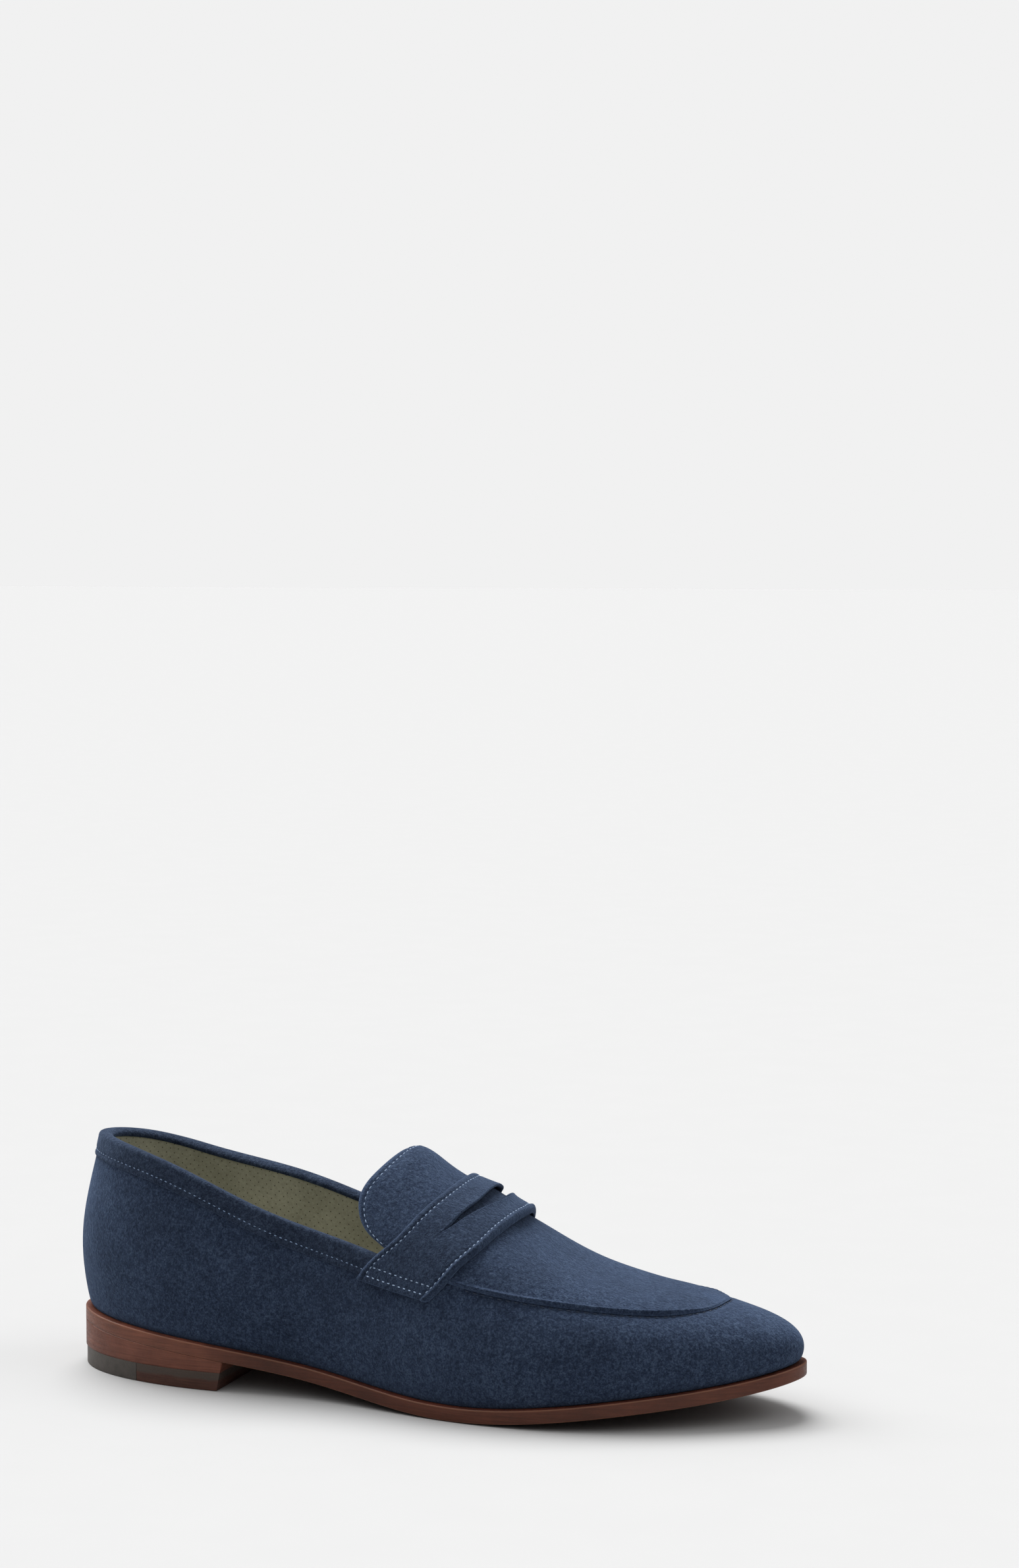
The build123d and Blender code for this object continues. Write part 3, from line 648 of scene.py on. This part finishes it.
def waves(p, size, seed):
    """Soft, slow hollows of worked leather: a few seeded sine waves in space."""
    rng = np.random.default_rng(seed)
    total = np.zeros(p.shape[:-1])
    for _ in range(9):
        k = rng.normal(0, 1, 3)
        k = k / np.linalg.norm(k) * 2 * math.pi / (size * rng.uniform(0.6, 1.6))
        total = total + np.sin((p * k).sum(-1) + rng.uniform(0, 2 * math.pi))
    return total / 9


# ---------------------------------------------------------------- side wall
ROWS = 660
BINDING_RISE, JOIN_X = 1.1, 15


def layer_top(u, rise, lap, join=JOIN_X):
    v = top_v(u)
    front = smooth((last(u, v)[..., 0] - join + 20) / 20)
    return down(u, v, rise * (1 - front) - lap * front)


def wall_grid(u, offset, rise, lap, columns, join=JOIN_X, finish=None):
    top = layer_top(u, rise, lap, join)
    v = top[:, None] * np.linspace(0, 1, columns)[None]
    uu = np.broadcast_to(u[:, None], v.shape)
    off = np.full(v.shape, float(offset))
    if finish is not None:
        off = off + finish(uu, v)
    return skin(uu, v, off)


def wall_relief(u, v):
    """Crease at the sole, puckers along the apron seam, slow unevenness."""
    p = last(u, v)
    rise_mm = np.linalg.norm(p - last(u, np.zeros(v.shape)), axis=-1)
    seam = top_v(u[:, 0])
    below = (seam[:, None] - v) * np.linalg.norm(last(u, v) - last(u, v - 0.01), axis=-1) / 0.01
    front = smooth((p[..., 0] - 20) / 15)
    along = np.concatenate([[0], np.cumsum(np.linalg.norm(np.diff(last(u[:, 0], seam), axis=0), axis=1))])
    pucker = 0.09 * np.sin(2 * math.pi * along / 3.3)[:, None] * np.exp(-np.clip(below, 0, 99) / 2.6) * front
    crease = -0.55 * bump(below, 0.3, 1.5) * front
    rear = np.exp(-(np.minimum(u, 1 - u) / 0.075) ** 2) * bump(rise_mm, 30, 22)
    return -0.7 * np.exp(-rise_mm / 1.1) + pucker + crease + 1.7 * rear + 0.28 * waves(p, 42, 3)


wall_u = np.arange(ROWS) / ROWS
wall_out = wall_grid(wall_u, 0.0, BINDING_RISE, 3.0, 60, finish=wall_relief)
wall_in = wall_grid(wall_u, -1.3, BINDING_RISE, 3.0, 60)
wall = leather("upper_side_wall", wall_out, wall_in, NAVY, closed=True, edge_reach=2.0)
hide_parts("side_wall")
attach(wall, SHOE)

# ---------------------------------------------------------------- apron and tongue, one skin
half_columns = 72
edge_t = np.linspace(0, 1, half_columns)
edge_t = 0.55 * edge_t + 0.45 * edge_t ** 2.4
span = np.concatenate([edge_t - 1, (1 - edge_t)[::-1][1:]])
tongue_rows = np.linspace(0, 1, 80) ** 1.15
foot_x = np.concatenate([np.linspace(18.5, 96, 110)[1:],
                         96 + (146.4 - 96) * np.linspace(0, 1, 64)[1:] ** 0.9])


def seam_reach(x, lateral):
    v = top_v(station(np.atleast_1d(x), lateral))
    return (1 - v) if lateral else (1 - v) / MEDIAL


JOIN_ROW = 18.5
join_lat = seam_reach(26.0, True)[0]
join_med = seam_reach(26.0, False)[0]
xs, ws = [], []
for r in tongue_rows:
    reach_lat = 0.594 + (join_lat - 0.594) * smooth((r - 0.35) / 0.65)
    reach_med = 0.594 + (join_med - 0.594) * smooth((r - 0.35) / 0.65)
    w = np.where(span < 0, span * reach_lat, span * reach_med)
    start = spline(TONGUE_V, TONGUE_END, 1 - np.abs(span) * 0.594)
    xs.append(start + (JOIN_ROW - start) * r)
    ws.append(w)
for x in foot_x:
    lat = seam_reach(max(x, 26.0), True)[0] if x > 26 else join_lat
    med = seam_reach(max(x, 26.0), False)[0] if x > 26 else join_med
    xs.append(np.full(span.shape, x))
    ws.append(np.where(span < 0, span * lat, span * med))
xs, ws = np.array(xs), np.array(ws)
au, av = over_uv(xs, ws)
base = last(au, av)
edge_lat, edge_med = base[:, :1], base[:, -1:]
gap = np.minimum(np.linalg.norm(base - edge_lat, axis=-1), np.linalg.norm(base - edge_med, axis=-1))
on_vamp = smooth((xs - 14) / 14)
far = np.maximum(smooth((xs - 100) / 26), smooth(ws / 0.06) * 0.45)
cord = 1.7 * smooth(gap / 0.75) - 1.05 * smooth((gap - 0.95) / 1.2)
seam_shape = 0.10 + cord * (1 - 0.75 * far) + 0.30 * smooth((gap - 3) / 9)
end_gap = np.linalg.norm(base - base[:1], axis=-1)
tongue_gap = np.minimum(gap, end_gap)


def tongue_rise(x, w):
    """Padding that lifts the tongue over the top of the instep."""
    return 2.5 * bump(x, -4.5, 8.5) * (1 - smooth(np.abs(w) / 0.42))


tongue_shape = (1.05 + 0.25 * smooth(tongue_gap / 0.8) - 0.22 * bump(tongue_gap, 2.0, 0.45)
                + 0.1 * smooth((tongue_gap - 2) / 4) + tongue_rise(xs, ws) * smooth((end_gap + 1.5) / 5))
apron_off = tongue_shape * (1 - on_vamp) + seam_shape * on_vamp + 0.22 * waves(base, 36, 8) * smooth(gap / 6)
arc = np.concatenate([[0], np.cumsum(np.linalg.norm(np.diff(base[:, 0], axis=0), axis=1))])
apron_off = apron_off + 0.06 * np.sin(2 * math.pi * arc / 3.3)[:, None] * bump(gap, 0.9, 0.9) * on_vamp
apron_out = skin(au, av, apron_off)
apron_in = skin(au, av, -0.95 - 1.2 * on_vamp * smooth(gap / 5) + 0.7 * np.exp(-gap / 1.5)
                + tongue_rise(xs, ws) * (1 - on_vamp) * smooth((end_gap + 1.5) / 5))
apron = leather("upper_apron_and_tongue", apron_out, apron_in, [NAVY, LINING], edge_reach=3.0)
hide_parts("apron", "apron_lining", "tongue", "tongue_lining")

# ---------------------------------------------------------------- strap
strap_rows = 220
w_line = np.linspace(-1, 1, strap_rows)
w_line = 0.72 * (0.75 * w_line + 0.25 * np.sign(w_line) * np.abs(w_line) ** 3)
v_line = 1 - np.abs(w_line)
rear_x, front_x = spline(STRAP_V, STRAP_REAR, v_line), spline(STRAP_V, STRAP_FRONT, v_line)
inside_slot = np.clip(np.abs(w_line), 0, 0.5)
slot_rear_x = spline(SLOT_W, SLOT_REAR, inside_slot)
slot_front_x = spline(SLOT_W, SLOT_FRONT, inside_slot)
tip = np.abs(w_line) >= 0.5
rear_at_tip, front_at_tip = spline(STRAP_V, STRAP_REAR, 0.5), spline(STRAP_V, STRAP_FRONT, 0.5)
share_at_tip = (SLOT_REAR[-1] - rear_at_tip) / (front_at_tip - rear_at_tip)
split = rear_x + (front_x - rear_x) * share_at_tip
slot_rear_x = np.where(tip, split, slot_rear_x)
slot_front_x = np.where(tip, split, slot_front_x)


def clustered(n):
    t = np.linspace(0, 1, n)
    return 0.5 - 0.5 * np.cos(math.pi * t)


def crown(w):
    return 1 - smooth(np.abs(w) / 0.42)


def strap_part(a, b, front):
    """One half of the strap, from an outer edge to the slot; the halves meet beyond the slot's tips."""
    t = clustered(56)
    x = a[:, None] + (b - a)[:, None] * t[None]
    w = np.broadcast_to(w_line[:, None], x.shape)
    u, v = over_uv(x, w)
    p = last(u, v)
    from_outer = np.linalg.norm(p - p[:, :1], axis=-1)
    from_slot = np.linalg.norm(p - p[:, -1:], axis=-1)
    from_end = np.minimum(np.linalg.norm(p - p[:1], axis=-1), np.linalg.norm(p - p[-1:], axis=-1))
    share = smooth(from_outer / (from_outer + from_slot))
    open_here = smooth((0.5 - np.abs(w)) / 0.2)
    end = smooth((np.abs(w) - 0.56) / 0.12)
    top = 3.2 - 0.55 * end
    if front:
        arch = crown(w) * (2.5 - 0.5 * share)
        lip = 0.75 * np.exp(-from_slot / 1.6) * crown(w)
        roll = 0.75 * bump(from_outer, 1.1, 1.1) * (1 - 0.3 * end)
        deep = 0.9 * np.exp(-(from_outer / 1.8) ** 2)
    else:
        arch = crown(w) * (0.9 + 1.2 * share)
        lip = 0.85 * np.exp(-from_slot / 3.5) * open_here
        roll = 0.15 * bump(from_outer, 1.0, 0.9)
        deep = 0.0
    groove = (0.3 * bump(from_outer, 2.5, 0.5) + 0.24 * bump(from_end, 2.1, 0.5)
              + 0.2 * bump(from_end, 6.2, 0.5))
    off = top + arch + lip + roll - 0.35 * np.exp(-from_outer / 0.7) - groove + 0.12 * waves(p, 24, 5)
    thick = np.minimum(1.55 + deep, top - 0.2 + arch)
    low = np.maximum(top + arch + lip - thick, 1.42 * (1 - end) + 0.2 * end)
    return skin(u, v, off), skin(u, v, low), from_outer, from_end, normal(u, v)


halves = (strap_part(rear_x, slot_rear_x, False), strap_part(front_x, slot_front_x, True))


def strap_mesh():
    """Both halves as one closed mesh with a slot: grids share their points beyond the slot's tips."""
    n, m = halves[0][0].shape[:2]
    r = 4
    blend_open = smooth((0.5 - np.abs(w_line)) / 0.06)[:, None]
    for side in (0, 1):
        joined = (halves[0][side][:, -1] + halves[1][side][:, -1]) / 2
        for half in halves:
            half[side][:, -1] = half[side][:, -1] * blend_open + joined * (1 - blend_open)
    verts, faces, near, loops = [], [], [], []
    for (out_g, in_g, *_), flip in zip(halves, (False, True)):
        outer_rim = rounded(in_g[:, 0], out_g[:, 0], out_g[:, 0] - out_g[:, 1], r, 0.8)
        slot_rim = rounded(out_g[:, -1], in_g[:, -1], out_g[:, -1] - out_g[:, -2], r, 0.8)
        loops.append((np.concatenate([outer_rim, out_g, slot_rim, in_g[:, ::-1]], 1), flip))
    for loop, flip in loops:
        base_index = len(verts)
        count = loop.shape[1]
        verts.extend(loop.reshape(-1, 3))
        from_rim = np.linalg.norm(loop - loop[:, r:r + 1], axis=-1)
        near.extend(from_rim.reshape(-1))
        for i in range(n - 1):
            for j in range(count):
                k = (j + 1) % count
                on_slot_rim = r + m - 1 <= j < r + m + r
                if on_slot_rim and tip[i] and tip[i + 1]:
                    continue
                a, b = base_index + i * count, base_index + (i + 1) * count
                f = (a + j, b + j, b + k, a + k)
                faces.append(f[::-1] if flip else f)
        for i, order in ((0, 1), (n - 1, -1)):
            a = base_index + i * count
            end_out = loop[i, r:r + m]
            end_in = loop[i, r + m + r:][::-1]
            t = end_out - loop[i + order, r:r + m]
            cap = rounded(end_out, end_in, t, r, 0.8)
            start = len(verts)
            verts.extend(cap.reshape(-1, 3))
            near.extend([0.0] * (m * r))
            for j in range(m - 1):
                column, column2 = ([a + r + c, *range(start + c * r, start + (c + 1) * r),
                                    a + 2 * (r + m) - 1 - c] for c in (j, j + 1))
                for q in range(len(column) - 1):
                    f = (column[q], column[q + 1], column2[q + 1], column2[q])
                    faces.append(f if (i == 0) != flip else f[::-1])
    verts, faces, (near,) = merged(np.array(verts), faces, [np.array(near)], 0.02)
    # Edge mask for the paler strap rims: part real wear, part painted highlight.
    edge = np.clip(1 - near / 3.0, 0, 1)
    return new_object("saddle_strap_skin", verts, faces, STRAP_SHADED_SUEDE, verts[:, :2] * 0.01, {"edge": edge})


strap = strap_mesh()
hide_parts("saddle_strap", "strap_tab_lateral", "strap_tab_medial")
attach(strap, SHOE)

under_w = np.linspace(-0.70, 0.70, 120)
under_v = 1 - np.abs(under_w)
under_a = spline(STRAP_V, STRAP_REAR, under_v) + 1.2
under_b = spline(STRAP_V, STRAP_FRONT, under_v) - 1.4
under_x = under_a[:, None] + (under_b - under_a)[:, None] * np.linspace(0, 1, 20)[None]
low_off = (1.45 - 1.2 * smooth((np.abs(under_w) - 0.56) / 0.12) + 1.15 * crown(under_w))[:, None]
strap_back = leather("strap_backing", over(under_x, under_w[:, None], low_off + 0.4),
                     over(under_x, under_w[:, None], low_off), COLLAR, edge_reach=1.0)
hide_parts("strap_lining")
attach(strap_back, SHOE)

# ---------------------------------------------------------------- collar binding
binding_u0 = station(-2.0, False) - 1
binding_u1 = station(-2.0, True)
band_u = np.linspace(binding_u0, binding_u1, 520)
band_v = top_v(band_u)
# the binding's two faces from its lower edge outside to the fold inside: (mm below the top line, mm out)
OUTER_PATH = [
    (9.3, 0.25), (9.2, 0.6), (8.8, 0.95), (8.2, 1.1), (7.6, 1.05), (7.1, 0.85), (6.7, 0.8), (6.3, 0.88),
    (5.7, 1.05), (4.6, 1.12), (3.4, 1.12), (2.3, 1.15), (1.4, 1.2), (0.7, 1.15), (0.1, 0.9), (-0.3, 0.45),
    (-0.6, -0.2), (-0.75, -1.0), (-0.75, -2.0), (-0.6, -3.0), (-0.25, -3.9), (0.2, -4.4), (0.7, -4.65),
    (1.2, -4.7), (1.6, -4.55)]
INNER_PATH = [
    (8.9, 0.15), (8.8, 0.15), (8.5, 0.15), (8.1, 0.15), (7.6, 0.15), (7.1, 0.15), (6.7, 0.15), (6.3, 0.15),
    (5.7, 0.15), (4.6, 0.15), (3.4, 0.15), (2.6, 0.15), (2.0, 0.15), (1.5, 0.15), (1.1, 0.1), (0.9, 0.0),
    (0.75, -0.3), (0.7, -1.0), (0.7, -2.0), (0.75, -2.8), (0.85, -3.4), (1.0, -3.8), (1.2, -3.95),
    (1.4, -4.0), (1.6, -4.1)]


def band_point(drop, off, wavy=0.0):
    v = down(band_u, band_v, drop)
    return skin(band_u, v, off + wavy * waves(last(band_u, v), 17, 12))


band_out = np.stack([band_point(d, o, 0.12) for d, o in OUTER_PATH], 1)
band_in = np.stack([band_point(d, o) for d, o in INNER_PATH], 1)
binding = leather("collar_binding_skin", band_out, band_in, COLLAR, edge_reach=2.2)
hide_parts("collar_binding")
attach(binding, SHOE)

# ---------------------------------------------------------------- lining
lin_u = np.arange(240) / 240
lin_out = wall_grid(lin_u, -2.9, 1.25, -0.5, 30, join=30)
lin_in = wall_grid(lin_u, -4.1, 1.25, -0.5, 30, join=30)
inner_skin = leather("inner_lining", lin_out, lin_in, LINING, closed=True, edge_reach=1.0)
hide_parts("quarter_lining", "vamp_lining")
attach(inner_skin, SHOE)


# ---------------------------------------------------------------- sole and sock
SPINE_X = (-118, 112)    # the line that the sole's rings shrink towards, mm


def slab(name, profile, base_z, material, reach, rings=14, count=360):
    """Flat layer: a shaped edge profile of (inset, height) all round, closed above and below."""
    edge, out = outline(np.arange(count) / count)
    spine_x = np.clip(edge[:, 0], *SPINE_X)
    root = np.stack([spine_x, spline(CENTRE_X, CENTRE_Y, spine_x)], -1)

    def ring(plan, height):
        return np.concatenate([plan, (base_z(plan[:, 0]) + height)[:, None]], 1)

    loops, near = [], []
    shares = np.linspace(0, 0.97, rings)[1:]
    first = edge - profile[0][0] * out
    for s in shares[::-1]:
        loops.append(ring(first + (root - first) * s, profile[0][1]))
        near.append(9.0)
    for inset, height in profile:
        loops.append(ring(edge - inset * out, height))
        near.append(inset)
    end = edge - profile[-1][0] * out
    for s in shares:
        loops.append(ring(end + (root - end) * s, profile[-1][1]))
        near.append(9.0)
    grid = np.array(loops)
    total = grid.shape[0]
    faces = tube_faces(total, count)
    faces.append(tuple(range(count))[::-1])
    faces.append(tuple((total - 1) * count + j for j in range(count)))
    near = np.repeat(np.array(near), count)
    verts, faces, (near,) = merged(grid.reshape(-1, 3), faces, [near], 0.003)
    # Painted highlight band: the edge mask peaks where the profile's inset is near reach, on the rounded
    # corners.
    edge = np.clip(1 - np.abs(near - reach) / 0.13, 0, 1)
    return new_object(name, verts, faces, material, verts[:, :2] * 0.01, {"edge": edge})


EDGE = [(6.6, 0.0), (6.2, 0.28), (5.6, 0.28), (5.2, 0.0), (1.5, 0.0), (0.55, 0.0), (0.2, 0.08), (0.04, 0.26),
        (0.0, 0.5), (0.0, 1.4), (0.0, 2.6), (0.0, 3.8), (0.0, 4.6), (0.05, 4.93), (0.2, 5.17), (0.45, 5.28),
        (0.9, 5.3), (3.6, 5.3)]
sole = slab("outsole_skin", EDGE, tread, SOLE, 0.12)
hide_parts("outsole")
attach(sole, SHOE)


def heel_stack():
    """Wedge and lift as one block of pared leather, flush with the sole above and the top piece below."""
    low = 7.02
    edge, out = outline(np.linspace(-0.25, 0.25, 400))
    keep = edge[:, 0] < -74
    edge, out = edge[keep], out[keep]
    across = np.linspace(0, 1, 40)[1:-1, None]
    breast = edge[-1] * (1 - across) + edge[0] * across
    ring = np.concatenate([edge, breast])
    inset_dir = np.concatenate([out, np.tile([[1.0, 0.0]], (len(breast), 1))])
    rows = []
    for t in np.linspace(0, 1, 16):
        z = low + (tread(ring[:, 0]) + 0.01 - low) * t
        plan = ring - inset_dir * 0.03
        plan[:, 0] = np.minimum(plan[:, 0], -76.4 + 0.2 * z)
        rows.append(np.column_stack([plan, z]))
    centre = np.array([-110.0, 3.0])
    caps = []
    for row, where in ((rows[0], 0), (rows[-1], -1)):
        shrunk = []
        for share in np.linspace(0, 1, 9)[1:]:
            plan = row[:, :2] + (centre - row[:, :2]) * share
            z = np.full(len(plan), low) if where == 0 else tread(plan[:, 0]) + 0.01
            shrunk.append(np.column_stack([plan, z]))
        caps.append(shrunk)
    grid = np.array(caps[0][::-1] + rows + caps[1])
    verts, faces, _ = merged(grid.reshape(-1, 3), tube_faces(*grid.shape[:2]), [], 0.003)
    return new_object("heel_stack_skin", verts, faces, STACK, verts[:, :2] * 0.01)


stack = heel_stack()
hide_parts("heel_wedge", "heel_lift")
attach(stack, SHOE)

BED = 2 * GLUE + 1.7 + 2.2 + GLUE


def sock_base(x):
    share = np.clip((-58 - x) / 26, 0, 1)
    return tread(x) + OUTSOLE + BED + 0.08 + 2.15 * share * share * (3 - 2 * share)


SOCK_EDGE = [(8.4, 0.0), (7.8, 0.1), (7.6, 0.4), (7.6, 0.75), (7.8, 1.02), (8.3, 1.12)]
sock = slab("sock_liner_skin", SOCK_EDGE, sock_base, LINING, 7.6)
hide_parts("sock_liner")
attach(sock, SHOE)

# ---------------------------------------------------------------- thread
v = down(band_u, band_v, 6.75)
keep = (band_u > binding_u0 + 0.008) & (band_u < binding_u1 - 0.004)
collar_line = (skin(band_u, v, 0.80)[keep], normal(band_u, v)[keep])
collar_thread = stitches("stitching_collar", [collar_line], COLLAR_THREAD, spacing=2.3, length=1.25,
                         radius=0.2, seed=2)
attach(collar_thread, SHOE)


def crossing(grid, distance, normals, reach):
    """Point of each row at which the distance first passes reach."""
    i = np.arange(len(grid))
    j = np.clip(np.argmax(distance >= reach, axis=1), 1, grid.shape[1] - 1)
    part = (reach - distance[i, j - 1]) / np.maximum(distance[i, j] - distance[i, j - 1], 1e-6)
    part = np.clip(part, 0, 1)[:, None]
    return grid[i, j - 1] * (1 - part) + grid[i, j] * part, normals[i, j]


strap_lines = []
for grid, _, edge, ends, normals in halves:
    inside = ends[:, 4] > 2.1
    line, n = crossing(grid, edge, normals, 2.5)
    strap_lines.append((line[inside], n[inside]))
half = strap_rows // 2
for reach in (2.1, 6.2):
    for order in (slice(0, half), slice(strap_rows - 1, half, -1)):
        parts = []
        for grid, _, edge, ends, normals in halves:
            wide = grid.transpose(1, 0, 2)[:, order]
            far_enough = edge[half // 8] > 2.5
            line, n = crossing(wide, ends.T[:, order], normals.transpose(1, 0, 2)[:, order], reach)
            parts.append((line[far_enough], n[far_enough]))
        strap_lines.append((np.concatenate([parts[0][0], parts[1][0][::-1]]),
                            np.concatenate([parts[0][1], parts[1][1][::-1]])))
strap_thread = stitches("stitching_strap", strap_lines, THREAD, spacing=2.3, length=1.3, radius=0.23, seed=4)
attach(strap_thread, SHOE)

end_points = []
for j in range(len(span)):
    column = tongue_gap[:len(tongue_rows), j]
    if column.max() > 2.0:
        i = int(np.argmax(column >= 2.0))
        if i > 0 and end_gap[i, j] <= gap[i, j] + 0.4:
            t = (2.0 - column[i - 1]) / (column[i] - column[i - 1])
            end_points.append(tuple(g[i - 1, j] + t * (g[i, j] - g[i - 1, j]) for g in (xs, ws)))
side_points = {}
for which in (-1, 1):
    side_points[which] = []
    cols = np.where(np.sign(span) == which)[0][::-which]
    for i in range(len(tongue_rows)):
        j = [c for c in cols if gap[i, c] >= 2.0]
        if j and end_gap[i, j[0]] > 2.2 and xs[i, j[0]] < 12:
            side_points[which].append((xs[i, j[0]], ws[i, j[0]]))
trail = np.array(side_points[-1][::-1] + end_points + side_points[1])
step = np.linalg.norm(np.diff(over(trail[:, 0], trail[:, 1], 0.0), axis=0), axis=1)
trail = trail[np.concatenate([[True], step > 0.05])]
tu, tv = over_uv(trail[:, 0], trail[:, 1])
tongue_rim = skin(tu, tv, 1.15 + tongue_rise(*trail.T) * smooth(3.5 / 5))
tongue_thread = stitches("stitching_tongue", [(tongue_rim, normal(tu, tv))], THREAD, spacing=2.3, length=1.5,
                         radius=0.2, seed=6)

seam_u = np.linspace(station(22, True), station(22, False), 400)
seam_v = down(seam_u, top_v(seam_u), 0.75)
seam_line = (skin(seam_u, seam_v, -0.18), normal(seam_u, seam_v))
seam_thread = stitches("stitching_apron", [seam_line], DARK_THREAD, spacing=3.3, length=1.7, radius=0.2,
                       lift=0.02, seed=8)
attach(seam_thread, SHOE)

for piece in (apron, tongue_thread):
    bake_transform(piece)

# ---------------------------------------------------------------- stage, light, camera
bpy.ops.mesh.primitive_plane_add(size=60)
floor = bpy.context.object
floor.name = "floor"
floor_material, tree, shader = nodes_of("floor_paper")
where = add(tree, "ShaderNodeTexCoord").outputs["Object"]
tone = ramp(tree, noise(tree, where, 30, 2), [(0.3, (0.418,) * 3), (0.7, (0.422,) * 3)])
tree.links.new(tone, shader.inputs["Base Color"])
shader.inputs["Roughness"].default_value = 0.9
shader.inputs["Specular IOR Level"].default_value = 0.0
floor.data.materials.append(floor_material)
floor.location = (0, 0, -0.0002)

world = bpy.data.worlds.new("studio")
bpy.context.scene.world = world
world.use_nodes = True
tree = world.node_tree
tree.nodes.clear()
direction = tree.nodes.new("ShaderNodeTexCoord").outputs["Generated"]
split = tree.nodes.new("ShaderNodeSeparateXYZ")
tree.links.new(direction, split.inputs[0])
sky = ramp(tree, maths(tree, "MULTIPLY", maths(tree, "ADD", split.outputs[2], 1.0), 0.5),
           [(0.5, (0.02,) * 3), (0.66, (0.10,) * 3), (0.9, (0.85,) * 3)])
light = tree.nodes.new("ShaderNodeBackground")
tree.links.new(sky, light.inputs["Color"])
seen = tree.nodes.new("ShaderNodeBackground")
seen.inputs["Color"].default_value = (0.879, 0.879, 0.879, 1)
choose = tree.nodes.new("ShaderNodeMixShader")
rays = tree.nodes.new("ShaderNodeLightPath")
tree.links.new(rays.outputs["Is Camera Ray"], choose.inputs[0])
tree.links.new(light.outputs[0], choose.inputs[1])
tree.links.new(seen.outputs[0], choose.inputs[2])
output = tree.nodes.new("ShaderNodeOutputWorld")
tree.links.new(choose.outputs[0], output.inputs["Surface"])


def sun(name, azimuth, elevation, strength, spread):
    """Soft light at infinity, from an azimuth (0 is in front of the lateral side) and elevation."""
    data = bpy.data.lights.new(name, "SUN")
    data.energy = strength
    data.angle = math.radians(spread)
    lamp = bpy.data.objects.new(name, data)
    bpy.context.scene.collection.objects.link(lamp)
    a, e = math.radians(azimuth), math.radians(elevation)
    lamp.rotation_euler = (math.pi / 2 - e, 0, a)
    return lamp


sun("key_above_behind", 218, 66, 3.7, 36)
sun("side_behind_left", -100, 40, 1.5, 40)
sun("side_right", 100, 34, 0.6, 40)
sun("front_low", 20, 30, 0.22, 60)

camera_data = bpy.data.cameras.new("camera")
camera_data.lens = 75.4
camera_data.sensor_width = 36
camera = bpy.data.objects.new("camera", camera_data)
bpy.context.scene.collection.objects.link(camera)
camera.location = (0.44144, -1.18390, 0.32354)
camera.rotation_euler = (math.radians(90 - 3.9744), 0, math.radians(109.0627 - 90))
camera_data.clip_start = 0.05
camera_data.clip_end = 200
bpy.context.scene.camera = camera
bpy.context.scene.view_settings.view_transform = "Standard"
